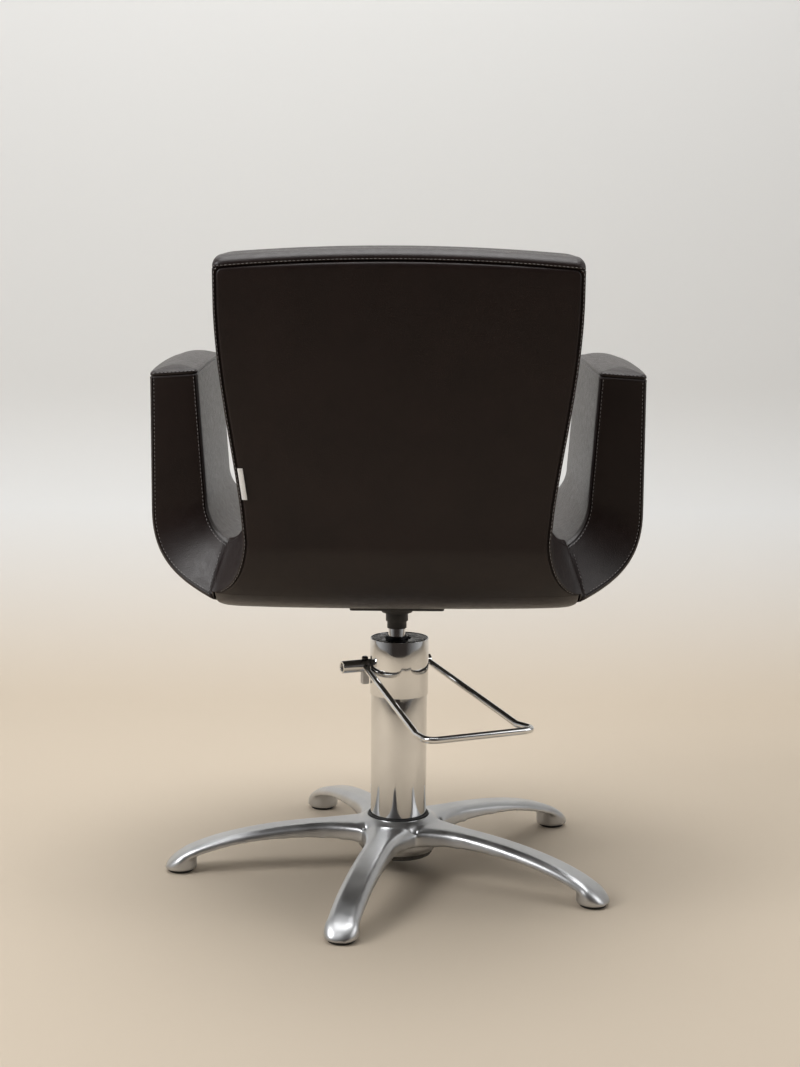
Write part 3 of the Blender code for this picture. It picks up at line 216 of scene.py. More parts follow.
def roughen(made, layers):
    """Bump layers, given as (texture, strength, height in mm), chained one over the other."""
    nodes, links = made.node_tree.nodes, made.node_tree.links
    last = None
    for texture, strength, height_mm in layers:
        bump = nodes.new("ShaderNodeBump")
        bump.inputs["Strength"].default_value = strength
        bump.inputs["Distance"].default_value = height_mm / 1000.0
        links.new(texture.outputs[0], bump.inputs["Height"])
        if last is not None:
            links.new(last.outputs["Normal"], bump.inputs["Normal"])
        last = bump
    links.new(last.outputs["Normal"], nodes["Principled BSDF"].inputs["Normal"])


print("helpers ready")

# %% [markdown]
# ### Leather
# The cover is a near-black brown hide with a fine pebble: cells one to two millimetres across, with
# soft creases between them. A cell texture gives the pebbles, a noise the uneven sheen, and a broad
# noise the slow change of tone from hide to hide. The gloss is half matt, so edges catch the light.

# %% Leather
leather = finish("leather", (0.0100, 0.0050, 0.0042), 0.0, 0.38, Specular_IOR_Level=0.38)
vary(leather, grain(leather, 60, detail=4.0), "Base Color", (0.0090, 0.0042, 0.0036),
     (0.0132, 0.0064, 0.0054))
vary(leather, grain(leather, 7, detail=4.0), "Roughness", 0.33, 0.42)
pebbles = grain(leather, 1.5, kind="ShaderNodeTexVoronoi")
creases = grain(leather, 9.0, detail=5.0)
roughen(leather, [(pebbles, 0.60, 0.18), (creases, 0.07, 0.5)])

thread = finish("thread", (0.22, 0.21, 0.205), 0.0, 0.75)
vary(thread, grain(thread, 0.6, stretch=(1, 1, 2.5)), "Base Color", (0.15, 0.14, 0.138),
     (0.28, 0.265, 0.26))
roughen(thread, [(grain(thread, 0.35), 0.5, 0.05)])

tag_cloth = finish("tag_cloth", (0.80, 0.79, 0.77), 0.0, 0.85)
vary(tag_cloth, grain(tag_cloth, 2.5), "Base Color", (0.74, 0.73, 0.71), (0.84, 0.83, 0.81))
roughen(tag_cloth, [(grain(tag_cloth, 0.35, stretch=(1, 1, 3)), 0.5, 0.08)])
print("leather, thread and tag cloth")

# %% [markdown]
# ### Metals, rubber, board and cloth
# Polished cast aluminium keeps faint swirls from the buffing wheel. Chrome is nearly a mirror with a
# few dull smudges. The steel pieces are blackened or zinc plated, and the hidden pump is plain iron. The
# board under the seat is stained dark, so that its edges do not show between the covers.

# %% Metals and the rest
aluminium = finish("polished_aluminium", (0.56, 0.565, 0.575), 1.0, 0.34)
vary(aluminium, grain(aluminium, 22, detail=5.0), "Roughness", 0.30, 0.40)
vary(aluminium, grain(aluminium, 45, detail=3.0), "Base Color", (0.50, 0.505, 0.515), (0.60, 0.605, 0.61))
roughen(aluminium, [(grain(aluminium, 0.8, stretch=(1, 1, 0.25)), 0.05, 0.02)])

chrome = finish("chrome", (0.74, 0.74, 0.74), 1.0, 0.06)
vary(chrome, grain(chrome, 26, detail=6.0), "Roughness", 0.045, 0.10)
vary(chrome, grain(chrome, 60), "Base Color", (0.70, 0.70, 0.70), (0.78, 0.78, 0.775))

dark_steel = finish("dark_steel", (0.030, 0.030, 0.032), 1.0, 0.30)
vary(dark_steel, grain(dark_steel, 9, detail=5.0), "Roughness", 0.20, 0.40)
vary(dark_steel, grain(dark_steel, 14), "Base Color", (0.022, 0.022, 0.024), (0.05, 0.05, 0.052))

zinc_steel = finish("zinc_steel", (0.42, 0.42, 0.43), 1.0, 0.38)
vary(zinc_steel, grain(zinc_steel, 8, detail=5.0), "Roughness", 0.30, 0.48)
vary(zinc_steel, grain(zinc_steel, 12, kind="ShaderNodeTexVoronoi"), "Base Color", (0.36, 0.36, 0.37),
     (0.48, 0.48, 0.49))

black_steel = finish("black_steel", (0.016, 0.016, 0.017), 0.0, 0.45)
vary(black_steel, grain(black_steel, 6, detail=5.0), "Roughness", 0.38, 0.55)
roughen(black_steel, [(grain(black_steel, 1.2), 0.25, 0.08)])

cast_iron = finish("cast_iron", (0.09, 0.088, 0.085), 0.9, 0.55)
vary(cast_iron, grain(cast_iron, 5, detail=6.0), "Base Color", (0.06, 0.058, 0.056), (0.13, 0.127, 0.12))
roughen(cast_iron, [(grain(cast_iron, 1.5), 0.5, 0.2)])

bronze = finish("bronze", (0.45, 0.27, 0.11), 1.0, 0.32)
vary(bronze, grain(bronze, 6), "Roughness", 0.25, 0.42)

rubber = finish("rubber", (0.014, 0.014, 0.014), 0.0, 0.65)
vary(rubber, grain(rubber, 4), "Roughness", 0.55, 0.75)
roughen(rubber, [(grain(rubber, 0.7), 0.3, 0.05)])

plywood = finish("plywood", (0.10, 0.066, 0.040), 0.0, 0.6)
vary(plywood, grain(plywood, 30, stretch=(1, 6, 14), detail=6.0), "Base Color", (0.08, 0.052, 0.030),
     (0.13, 0.090, 0.056))
roughen(plywood, [(grain(plywood, 4, stretch=(1, 6, 14)), 0.3, 0.2)])

dust_cloth = finish("dust_cloth", (0.022, 0.022, 0.023), 0.0, 0.9)
vary(dust_cloth, grain(dust_cloth, 1.2, kind="ShaderNodeTexVoronoi"), "Base Color", (0.015, 0.015, 0.016),
     (0.035, 0.035, 0.036))
roughen(dust_cloth, [(grain(dust_cloth, 0.9, kind="ShaderNodeTexVoronoi"), 0.6, 0.1)])

FLOOR_TONE, WALL_TONE, TONE_CHANGE = (0.50, 0.425, 0.335), (0.66, 0.665, 0.66), 0.30
paper = finish("studio_paper", FLOOR_TONE, 0.0, 0.9)
nodes, links = paper.node_tree.nodes, paper.node_tree.links
height = nodes.new("ShaderNodeSeparateXYZ")
links.new(nodes.new("ShaderNodeTexCoord").outputs["Object"], height.inputs["Vector"])
tone = nodes.new("ShaderNodeValToRGB")
for element, at, colour in zip(tone.color_ramp.elements, (0.0, TONE_CHANGE), (FLOOR_TONE, WALL_TONE)):
    element.position, element.color = at, (*colour, 1.0)
links.new(height.outputs["Z"], tone.inputs["Fac"])
links.new(tone.outputs["Color"], nodes["Principled BSDF"].inputs["Base Color"])
one_sided = nodes.new("ShaderNodeMixShader")
links.new(nodes.new("ShaderNodeNewGeometry").outputs["Backfacing"], one_sided.inputs["Fac"])
links.new(nodes["Principled BSDF"].outputs["BSDF"], one_sided.inputs[1])
links.new(nodes.new("ShaderNodeBsdfTransparent").outputs["BSDF"], one_sided.inputs[2])
links.new(one_sided.outputs["Shader"], nodes["Material Output"].inputs["Surface"])
studio_sweep.data.materials.append(paper)

FINISHES = {"leather": leather, "polished_aluminium": aluminium, "chrome": chrome, "dark_steel": dark_steel,
            "zinc_steel": zinc_steel, "cast_iron": cast_iron, "bronze": bronze, "rubber": rubber,
            "plywood": plywood, "dust_cloth": dust_cloth}
repainted = 0
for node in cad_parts.values():
    for place in node.material_slots:
        if place.material is not None:
            base_name = place.material.name.split(".")[0]
            place.material = FINISHES.get(base_name, zinc_steel)
            repainted += 1
print("solids repainted:", repainted)

# %% [markdown]
# ## Making a piece
# All pieces end the same way: doubles are merged, the normals are turned outwards, sharp creases are
# marked so that smooth shading keeps them, and the mesh is put on its body in place of its solid.

# %% Piece helper
ROD_AXIS = Vector((-0.0036542, -0.0016269, 0.0))
ROD_SPOT = tuple(ROD_AXIS[:2])


def piece(name, bm, body, made, stands_for=(), crease=38.0):
    """Turn a bmesh into an object that rides on a body and replaces the named solids."""
    bmesh.ops.remove_doubles(bm, verts=bm.verts[:], dist=2e-6)
    bmesh.ops.dissolve_degenerate(bm, dist=1e-6, edges=bm.edges[:])
    bmesh.ops.recalc_face_normals(bm, faces=bm.faces[:])
    for edge in bm.edges:
        edge.smooth = len(edge.link_faces) != 2 or edge.calc_face_angle() < math.radians(crease)
    for face in bm.faces:
        face.smooth = True
    mesh = bpy.data.meshes.new(name)
    bm.to_mesh(mesh)
    bm.free()
    mesh.materials.append(made)
    item = bpy.data.objects.new(name, mesh)
    scene.collection.objects.link(item)
    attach(item, body)
    if stands_for:
        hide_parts(*stands_for)
    print("%s: %d faces" % (name, len(mesh.polygons)))
    return item


def on_rod(bm):
    """Shift a shape that was drawn about the middle onto the axis of the rod."""
    bmesh.ops.translate(bm, verts=bm.verts[:], vec=ROD_AXIS)


def as_bmesh(item):
    """The evaluated mesh of a scratch object as a bmesh; the object is removed."""
    graph = bpy.context.evaluated_depsgraph_get()
    mesh = bpy.data.meshes.new_from_object(item.evaluated_get(graph))
    bm = bmesh.new()
    bm.from_mesh(mesh)
    bpy.data.objects.remove(item, do_unlink=True)
    return bm


def scratch(bm, name):
    """An object for a modifier to work on; as_bmesh takes it away again."""
    mesh = bpy.data.meshes.new(name)
    bm.to_mesh(mesh)
    bm.free()
    item = bpy.data.objects.new(name, mesh)
    scene.collection.objects.link(item)
    return item


print("piece helpers ready")

# %% [markdown]
# ## Round pieces
# The column, its sleeve, the rod and the rings are all turned on a lathe, so a half profile is spun
# about the upright axis. The rims of real turned pieces are broken with a file, so every sharp rim
# gets a narrow bevel, which is the bright line that makes metal look solid.

# %% Turned pieces
def turned(profile, segments, centre=(0.0, 0.0), ring=False, rim=0.0):
    """Spin (radius, height) points about an upright axis and break the sharp rims."""
    bm = bmesh.new()
    verts = [bm.verts.new((radius, 0.0, height)) for radius, height in profile]
    pairs = list(zip(verts, verts[1:]))
    if ring:
        pairs.append((verts[-1], verts[0]))
    edges = [bm.edges.new(pair) for pair in pairs]
    bmesh.ops.spin(bm, geom=verts + edges, cent=(0, 0, 0), axis=(0, 0, 1), angle=2 * math.pi,
                   steps=segments, use_merge=True, use_duplicate=False)
    bmesh.ops.remove_doubles(bm, verts=bm.verts[:], dist=1e-6)
    bmesh.ops.recalc_face_normals(bm, faces=bm.faces[:])
    if rim > 0.0:
        sharp = [edge for edge in bm.edges if len(edge.link_faces) == 2 and edge.calc_face_angle() > 0.6]
        bmesh.ops.bevel(bm, geom=sharp, offset=rim, segments=3, profile=0.5, affect="EDGES", material=-1,
                        clamp_overlap=True)
    bmesh.ops.translate(bm, verts=bm.verts[:], vec=(centre[0], centre[1], 0.0))
    return bm


def walled(bore, radius, low, top):
    """Half profile of a plain ring or, without a bore, of a round bar."""
    return [(bore, low), (radius, low), (radius, top), (bore, top)]


TUBE_RADIUS, TUBE_BORE, TUBE_LOW, TUBE_TOP = 0.0384, 0.0366, 0.0278, 0.262
SLEEVE_RADIUS, SLEEVE_BORE, SLEEVE_LOW, HEAD_TOP = 0.0399, 0.0387, 0.2465, 0.3235
HUB_TOP, GASKET_RADIUS, GASKET_DEEP, GASKET_PROUD = 0.0775, 0.0415, 0.0039, 0.0008
CAP_LOW, CAP_HOLE, BUSH_BORE, BUSH_RADIUS, BUSH_RISE = 0.315, 0.0160, 0.0121, 0.0156, 0.0038
ROD_RADIUS, PLATE_LOW, CONE_FOOT, ROD_END = 0.0118, 0.380, 0.360, 0.004
COLLAR_LOW, COLLAR_STEP, COLLAR_THIN, COLLAR_THICK, GAP = 0.338, 0.348, 0.0015, 0.0034, 0.0003
column = turned(walled(TUBE_BORE, TUBE_RADIUS, TUBE_LOW, TUBE_TOP), 128, ring=True, rim=0.0004)
piece("column_chrome", column, "base", chrome, ["column_tube"])
gasket = turned(walled(SLEEVE_BORE, GASKET_RADIUS, HUB_TOP - GASKET_DEEP, HUB_TOP + GASKET_PROUD), 96,
                ring=True, rim=0.0008)
piece("hub_gasket", gasket, "base", rubber, ["column_gasket"])
cap = turned(walled(CAP_HOLE, TUBE_RADIUS, CAP_LOW, HEAD_TOP), 128, ring=True, rim=0.0006)
piece("cap_plate", cap, "base", dark_steel, ["head_cap"])
bush = turned(walled(BUSH_BORE, BUSH_RADIUS, CAP_LOW, HEAD_TOP + BUSH_RISE), 72, ROD_SPOT, ring=True,
              rim=0.0009)
piece("cap_ring", bush, "base", dark_steel, ["cap_bush"])
rod_low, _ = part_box("piston_rod")
rod = turned(walled(0.0, ROD_RADIUS, rod_low.z, PLATE_LOW - ROD_END), 72, ROD_SPOT, rim=0.0008)
piece("chrome_rod", rod, "seat", chrome, ["piston_rod"])
collar = turned([(ROD_RADIUS + GAP, COLLAR_LOW), (ROD_RADIUS + COLLAR_THIN, COLLAR_LOW),
                 (ROD_RADIUS + COLLAR_THIN, COLLAR_STEP), (ROD_RADIUS + COLLAR_THICK, COLLAR_STEP),
                 (ROD_RADIUS + COLLAR_THICK, CONE_FOOT - GAP), (ROD_RADIUS + GAP, CONE_FOOT - GAP)],
                72, ROD_SPOT, ring=True, rim=0.0004)
piece("black_collar", collar, "seat", black_steel, ["rod_collar"])

# %% [markdown]
# ## Sleeve with its cross holes
# The pump's head sits in a chromed sleeve, and the pedal shaft crosses it behind the axis. The holes
# could be left out, since the shaft fills them, but a hole with a broken edge is what makes the shaft
# look fitted. A Boolean cuts a round bar out of the spun sleeve.

# %% Head sleeve
PIVOT = Matrix.Translation((-0.0089482, 0.0200980, 0.2840)) @ Matrix.Rotation(math.radians(24.0), 4, "Z")
SHAFT_RADIUS, SHAFT_ROOM, SLEEVE_PROUD, WAY_HALF = 0.0086, 0.0006, 0.0006, 0.08


def along_shaft(bm):
    """Lay a piece that was turned upright along the pedal shaft's axis."""
    bmesh.ops.transform(bm, matrix=PIVOT @ Matrix.Rotation(math.pi / 2, 4, "Y"), verts=bm.verts[:])
    return bm


def combined(bm, other, operation):
    """One solid cut out of another or joined to it."""
    whole, tool = scratch(bm, "whole"), scratch(other, "tool")
    step = whole.modifiers.new("step", "BOOLEAN")
    step.operation = operation
    step.solver = "EXACT"
    step.object = tool
    bpy.context.view_layer.update()
    made = as_bmesh(whole)
    bpy.data.objects.remove(tool, do_unlink=True)
    return made


sleeve = turned(walled(SLEEVE_BORE, SLEEVE_RADIUS, SLEEVE_LOW, HEAD_TOP + SLEEVE_PROUD), 128, ring=True,
                rim=0.0004)
shaft_way = along_shaft(turned(walled(0.0, SHAFT_RADIUS + SHAFT_ROOM, -WAY_HALF, WAY_HALF), 48))
piece("chrome_sleeve", combined(sleeve, shaft_way, "DIFFERENCE"), "base", chrome, ["head_sleeve"])

# %% [markdown]
# ## The pedal
# A hollow shaft turns in the head. A bent round bar is welded to it as a stirrup for the foot, and a
# bolt through the shaft clamps it. The bar is a curve with a round bevel, made a mesh at the end,
# because a curve follows a bent bar with far fewer points than a sweep written out by hand.

# %% Shaft and stirrup
SHAFT_LEFT, SHAFT_RIGHT, SHAFT_BORE = 0.0760, 0.0560, 0.0056
shaft = turned([(SHAFT_RADIUS, -SHAFT_LEFT), (SHAFT_RADIUS, SHAFT_RIGHT), (SHAFT_BORE, SHAFT_RIGHT),
                (SHAFT_BORE, -SHAFT_LEFT)], 64, ring=True, rim=0.0007)
piece("chrome_shaft", along_shaft(shaft), "pedal", chrome, ["pedal_shaft"])


def eased(points, radius, steps):
    """Round the inner corners of a line of points."""
    points = [Vector(point) for point in points]
    out = [points[0]]
    for before, corner, after in zip(points, points[1:], points[2:]):
        to_before, to_after = (before - corner).normalized(), (after - corner).normalized()
        half = to_before.angle(to_after) / 2
        room = min((before - corner).length * 0.49, (after - corner).length * 0.49)
        reach = min(radius / math.tan(half), room)
        for k in range(steps + 1):
            t = k / steps
            out.append(corner + to_before * reach * (1 - t) ** 2 + to_after * reach * t ** 2)
    return out + [points[-1]]


def tube(points, radius, resolution):
    """A round bar along a line of points, as a bmesh."""
    curve = bpy.data.curves.new("bar", "CURVE")
    curve.dimensions = "3D"
    curve.bevel_depth = radius
    curve.bevel_resolution = resolution
    curve.use_fill_caps = True
    spline = curve.splines.new("POLY")
    spline.points.add(len(points) - 1)
    for knot, point in zip(spline.points, points):
        knot.co = (*point, 1.0)
    item = bpy.data.objects.new("bar", curve)
    scene.collection.objects.link(item)
    bpy.context.view_layer.update()
    return as_bmesh(item)


ROOT_HALF, TREAD_HALF, FLARE, RUN, DROP, TREAD = 0.0470, 0.0710, 0.0100, 0.2270, 0.0400, 0.0350
STIRRUP_RADIUS, STIRRUP_SHIFT, STIRRUP_BEND = 0.0045, 0.0040, 0.020
corners = [(-ROOT_HALF, 0, 0), (-TREAD_HALF, -RUN, -DROP), (-TREAD_HALF, -RUN - TREAD, -DROP),
           (TREAD_HALF + FLARE, -RUN - TREAD, -DROP), (TREAD_HALF, -RUN, -DROP), (ROOT_HALF, 0, 0)]
path = eased([(x + STIRRUP_SHIFT, y, z) for x, y, z in corners], STIRRUP_BEND, 14)
stirrup = tube(path, STIRRUP_RADIUS, 6)
bmesh.ops.transform(stirrup, matrix=PIVOT, verts=stirrup.verts[:])
piece("foot_stirrup", stirrup, "pedal", chrome, ["pedal_stirrup"])

# %% [markdown]
# ## The return spring
# A coil spring under the head of the pump plunger lifts the pedal again. It is wound as one wire in the box
# of its solid. When the pedal goes down the plunger takes the room; the wound spring keeps its rest length.

# %% Return spring
COILS, COIL_STEPS, WIRE, STROKE = 6, 20, 0.0006, 0.0080
spring_low, spring_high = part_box("plunger_spring")
middle = (spring_low + spring_high) / 2
reach = (spring_high.x - spring_low.x) / 2 - WIRE
coil = []
for k in range(COILS * COIL_STEPS + 1):
    at, rise = 2 * math.pi * k / COIL_STEPS, k / (COILS * COIL_STEPS)
    height = spring_low.z + WIRE + (spring_high.z - spring_low.z - 2 * WIRE) * rise
    coil.append(Vector((middle.x + reach * math.cos(at), middle.y + reach * math.sin(at), height)))
return_spring = piece("return_spring", tube(coil, WIRE, 1), "base", zinc_steel, ["plunger_spring"])
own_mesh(return_spring)

# %% [markdown]
# ## Plate under the seat
# A flat steel plate with a short tapered flange carries the seat on the rod. It is one welded piece,
# so a bevelled block and a spun cone are joined into one solid.

# %% Seat plate
def block(low, high, corner, edge):
    """A box with rounded upright corners and broken edges."""
    low, high = Vector(low), Vector(high)
    bm = bmesh.new()
    size = Matrix.Diagonal((*(high - low), 1.0))
    bmesh.ops.create_cube(bm, size=1.0, matrix=Matrix.Translation((low + high) / 2) @ size)
    upright = [item for item in bm.edges if abs(item.verts[0].co.z - item.verts[1].co.z) > 1e-6]
    bmesh.ops.bevel(bm, geom=upright, offset=corner, segments=6, profile=0.5, affect="EDGES", material=-1)
    sharp = [item for item in bm.edges if item.calc_face_angle() > 1.0]
    bmesh.ops.bevel(bm, geom=sharp, offset=edge, segments=2, profile=0.5, affect="EDGES", material=-1)
    return bm


PLATE_HALF_X, PLATE_HALF_Y, PLATE_DROP, PLATE_THICK = 0.0625, 0.083, 0.0030, 0.0042
PLATE_CORNER, PLATE_EDGE = 0.005, 0.0007
CONE_ROOM, CONE_WALL_LOW, CONE_WALL_TOP, CONE_TOP = 0.0002, 0.0092, 0.0132, PLATE_LOW + 0.001
plate = block((-PLATE_HALF_X, -PLATE_HALF_Y, PLATE_LOW - PLATE_DROP),
              (PLATE_HALF_X, PLATE_HALF_Y, PLATE_LOW + PLATE_THICK), PLATE_CORNER, PLATE_EDGE)
cone = turned([(ROD_RADIUS + CONE_ROOM, CONE_FOOT), (ROD_RADIUS + CONE_WALL_LOW, CONE_FOOT),
               (ROD_RADIUS + CONE_WALL_TOP, CONE_TOP), (ROD_RADIUS + CONE_ROOM, CONE_TOP)],
              72, ring=True, rim=0.0006)
plate = combined(plate, cone, "UNION")
on_rod(plate)
piece("steel_plate", plate, "seat", black_steel, ["seat_plate"])

# %% [markdown]
# ## The star base
# Five arched legs that roll down into round toes and a hub are one polished casting, and the blends
# between them are what the eye looks for. Legs and toes are skinned over rows of sections, the hub is
# spun, and a voxel remesh fuses them. Smoothing rounds every meeting line, most of all at the hub, where
# the pattern maker gives the webs a wide hollow.

# %% Star base
LEG_TURNS = [math.radians(-103.4 + 72.0 * k) for k in range(5)]
FOOT_REACH, FOOT_RADIUS, HUB_RADIUS, HUB_LOW, FOOT_LOW = 0.300, 0.0226, 0.0560, 0.0278, 0.0034
LEG_HALF, LEG_CREST, LEG_TOP, LEG_FLARE, FLARE_RUN = 0.0218, 0.0125, 0.0700, 0.0175, 0.070
LEG_DEPTH, ROOT_DEEPER, END_THINNER, DEPTH_RUN = 0.0182, 0.0075, 0.0045, 0.30
ROOF_SHARE, SHOULDER_IN, SHOULDER_DROP, WALL_WIDE, LIP_WIDE = 0.53, 0.0022, 0.0052, 0.0042, 0.0048
TOE_TIP, TOE_PROUD, TOE_SINK, TOE_EDGE, TOE_BEVEL = 0.0003, 0.0004, 0.0100, 0.0016, 0.0024
TOE_SIDES = ((1.0, 0.0115, 0.64), (0.93, 0.0066, 0.38), (0.76, 0.0028, 0.17), (0.45, 0.0006, 0.04))
CAST_VOXEL, CAST_SOFTENED, WEB_SOFTENED = 0.0016, 22, 14
WEB_IN, WEB_OUT, WEB_LOW = 0.050, 0.105, 0.044
LEG_ROOT, TOE_REACH = HUB_RADIUS - 0.006, 0.3216


def skinned(rows, closed=True):
    """A grid of quads laid over rows of points; each row closes on itself if closed."""
    rows = [row + row[:1] if closed else row for row in rows]
    bm = bmesh.new()
    across, along = len(rows[0]) - 1, len(rows) - 1
    bmesh.ops.create_grid(bm, x_segments=along, y_segments=across, size=1.0)
    for vert in bm.verts:
        k = round((vert.co.x + 1) / 2 * along)
        n = round((vert.co.y + 1) / 2 * across)
        vert.co = rows[k][n]
    bmesh.ops.remove_doubles(bm, verts=bm.verts[:], dist=1e-6)
    return bm


def capped(bm):
    """Close the open ends of a skin."""
    rims = [edge for edge in bm.edges if len(edge.link_faces) == 1]
    bmesh.ops.holes_fill(bm, edges=rims, sides=0)
    return bm


def leg_top(reach):
    """The crest is a quarter of an ellipse, from the hub down to the tip of the toe."""
    along = (reach - LEG_ROOT) / (TOE_REACH - LEG_ROOT)
    return LEG_TOP * math.sqrt(max(0.0, 1 - along**2))


def leg_section(reach):
    """Outline of a leg across its length: flat crest, sloping shoulders and a hollow underside."""
    top = leg_top(reach)
    half = LEG_HALF + LEG_FLARE * max(0.0, 1 - (reach - LEG_ROOT) / FLARE_RUN) ** 2
    out = (reach - HUB_RADIUS) / (FOOT_REACH - HUB_RADIUS)
    deep = LEG_DEPTH + ROOT_DEEPER * max(0.0, 1 - out / DEPTH_RUN)
    deep -= END_THINNER * min(1.0, max(0.0, (out - DEPTH_RUN) / DEPTH_RUN))
    low, roof = top - deep, top - ROOF_SHARE * deep
    crest, shoulder = LEG_CREST + 0.5 * (half - LEG_HALF), half - SHOULDER_IN
    inside, lip = shoulder - WALL_WIDE, half - LIP_WIDE
    points = [(-half, low), (-shoulder, top - SHOULDER_DROP), (-crest, top), (crest, top),
              (shoulder, top - SHOULDER_DROP), (half, low), (lip, low), (inside, roof), (-inside, roof),
              (-lip, low)]
    return [Vector((reach, side, height)) for side, height in points]


def toe_section(turn):
    """Section of the round foot: upright below, and under the arch of the leg above."""
    reach, half = FOOT_REACH + FOOT_RADIUS * math.sin(turn), FOOT_RADIUS * math.cos(turn)
    behind = max(0.0, -0.55 - math.sin(turn))
    top = leg_top(min(reach, TOE_REACH - TOE_TIP)) + TOE_PROUD - TOE_SINK * behind
    tall = top - FOOT_LOW
    sides = [(half - min(TOE_EDGE, 0.5 * half), FOOT_LOW), (half, FOOT_LOW + min(TOE_BEVEL, 0.25 * tall))]
    sides += [(wide * half, top - min(drop, share * tall)) for wide, drop, share in TOE_SIDES]
    points = sides + [(-side, height) for side, height in reversed(sides)]
    return [Vector((reach, side, height)) for side, height in points]


casting = bmesh.new()


def pour(bm, turn=0.0):
    """Add a closed shape to the casting."""
    bmesh.ops.recalc_face_normals(bm, faces=bm.faces[:])
    bmesh.ops.rotate(bm, verts=bm.verts[:], cent=(0, 0, 0), matrix=Matrix.Rotation(turn, 3, "Z"))
    mesh = bpy.data.meshes.new("poured")
    bm.to_mesh(mesh)
    bm.free()
    casting.from_mesh(mesh)


REACHES = [step * 0.001 for step in range(50, 296, 5)]
TOE_TURNS = [math.radians(-84 + 7 * k) for k in range(25)]
for turn in LEG_TURNS:
    pour(capped(skinned([leg_section(reach) for reach in REACHES])), turn)
    pour(capped(skinned([toe_section(across) for across in TOE_TURNS])), turn)
HUB_BORE, RING_BORE, RING_LOW = TUBE_RADIUS + GAP, TUBE_RADIUS + 0.0034, HUB_TOP - 0.0042
pour(turned([(HUB_BORE, HUB_LOW), (HUB_RADIUS - 0.006, HUB_LOW), (HUB_RADIUS, HUB_LOW + 0.008),
             (HUB_RADIUS, LEG_TOP - 0.006), (HUB_RADIUS - 0.003, LEG_TOP + 0.001),
             (TUBE_RADIUS + 0.0091, HUB_TOP - 0.0025), (TUBE_RADIUS + 0.0046, HUB_TOP),
             (RING_BORE, HUB_TOP), (RING_BORE, RING_LOW), (HUB_BORE, RING_LOW)], 128, ring=True))
rough = scratch(casting, "rough_casting")
fuse = rough.modifiers.new("fuse", "REMESH")
fuse.mode = "VOXEL"
fuse.voxel_size = CAST_VOXEL
soften = rough.modifiers.new("soften", "SMOOTH")
soften.factor = 0.5
soften.iterations = CAST_SOFTENED
bpy.context.view_layer.update()
cast = as_bmesh(rough)
web = [vert for vert in cast.verts if WEB_IN < vert.co.xy.length < WEB_OUT and vert.co.z > WEB_LOW]
for _ in range(WEB_SOFTENED):
    bmesh.ops.smooth_vert(cast, verts=web, factor=0.5, use_axis_x=True, use_axis_y=True, use_axis_z=True)
piece("star_casting", cast, "base", aluminium, ["star_base"], crease=80.0)

# %% [markdown]
# ## Glides and the nut below
# A black glide is pressed into each foot, and a heavy nut clamps the column from below. The glides are
# spun with a soft lower rim. The nut keeps its solid, whose notches are right as they are.

# %% Glides
GLIDE_FLAT, GLIDE_RADIUS, GLIDE_EDGE, STEM_RADIUS, STEM_TOP = 0.0160, 0.0175, 0.0012, 0.0044, 0.0120
GLIDE_PROFILE = [(0.0, 0.0), (GLIDE_FLAT, 0.0), (GLIDE_RADIUS, GLIDE_EDGE), (GLIDE_RADIUS, FOOT_LOW),
                 (STEM_RADIUS, FOOT_LOW), (STEM_RADIUS, STEM_TOP), (0.0, STEM_TOP)]
for k, turn in enumerate(LEG_TURNS):
    spot = (FOOT_REACH * math.cos(turn), FOOT_REACH * math.sin(turn))
    glide = turned(GLIDE_PROFILE, 48, spot, rim=0.0004)
    piece("glide_%d" % (k + 1), glide, "base", rubber, ["foot_glide_%d" % (k + 1)])

# %% [markdown]
# ## How the padding is shaped
# Arms and back are padded shells: their sections are rounded rectangles with a slight crown, and where
# two hides meet at a corner the seam draws the leather in. One helper gives the points round such a
# section, with extra points at the seams, so that each seam is a real dip in the mesh.

# %% Padded section
SHELL_LOW, SEAT_LINE, BOARD_TOP, SEAT_FRONT = 0.402, 0.478, 0.422, 0.315
ARM_END, ARM_IN_LOW, ARM_IN_TOP, ARM_OUT, ARM_TOP = 0.200, 0.241, 0.252, 0.3115, 0.702
ARM_REAR, ARM_FRONT, ARM_ROUND, ARM_END_LOW = -0.166, 0.170, 0.007, 0.4075
ARM_BEND_OUT, ARM_BEND_IN, ARM_LIP = 0.520, 0.540, 0.485
BACK_END, BACK_LOW_REAR, BACK_TOP_REAR = -0.165, -0.283, -0.314
BACK_LOW_FRONT, BACK_TOP_FRONT, BACK_BEND_OUT, BACK_BEND_IN = -0.218, -0.250, 0.500, 0.530
BACK_FROM, BACK_SEAM, BACK_TOP = 0.540, 0.838, 0.855
BACK_WAIST, BACK_SPREAD, BACK_ARCH, PANEL_THICK = 0.186, 0.0328, 0.010, 0.0107
NOTCH = Vector((0.232, -0.225, 0.0))
SEAM_DIP = 0.0013
ARC_STOPS = ((0.0, 0.0), (0.2, 0.0), (0.4, 0.0), (0.54, 0.0), (0.62, -0.12), (0.665, 0.5), (0.70, 1.0),
             (0.735, 0.5), (0.78, -0.12), (0.85, 0.0), (1.0, 0.0))
STITCH_STOP = 9
RIM = ((0.0, 0.0075), (0.0, 0.0048), (0.0002, 0.0028), (0.0006, 0.0014), (0.0013, 0.0006), (0.0021, 0.0005),
       (0.0028, 0.0010), (0.0033, 0.0022), (0.0036, 0.0045), (0.0038, 0.0080), (0.0047, 1.0))
RIM_EDGE = 0.0036
RIM_STITCH = 5


def rim_path(step, widen):
    """The sewn edge beside the outside panel: a rolled rim that drops into the groove, step deep."""
    out = []
    for aside, below in RIM:
        wide = widen * min(1.0, aside / RIM_EDGE)
        out.append((aside + wide, min(below, 0.8 * step) if below < 1.0 else step))
    return out


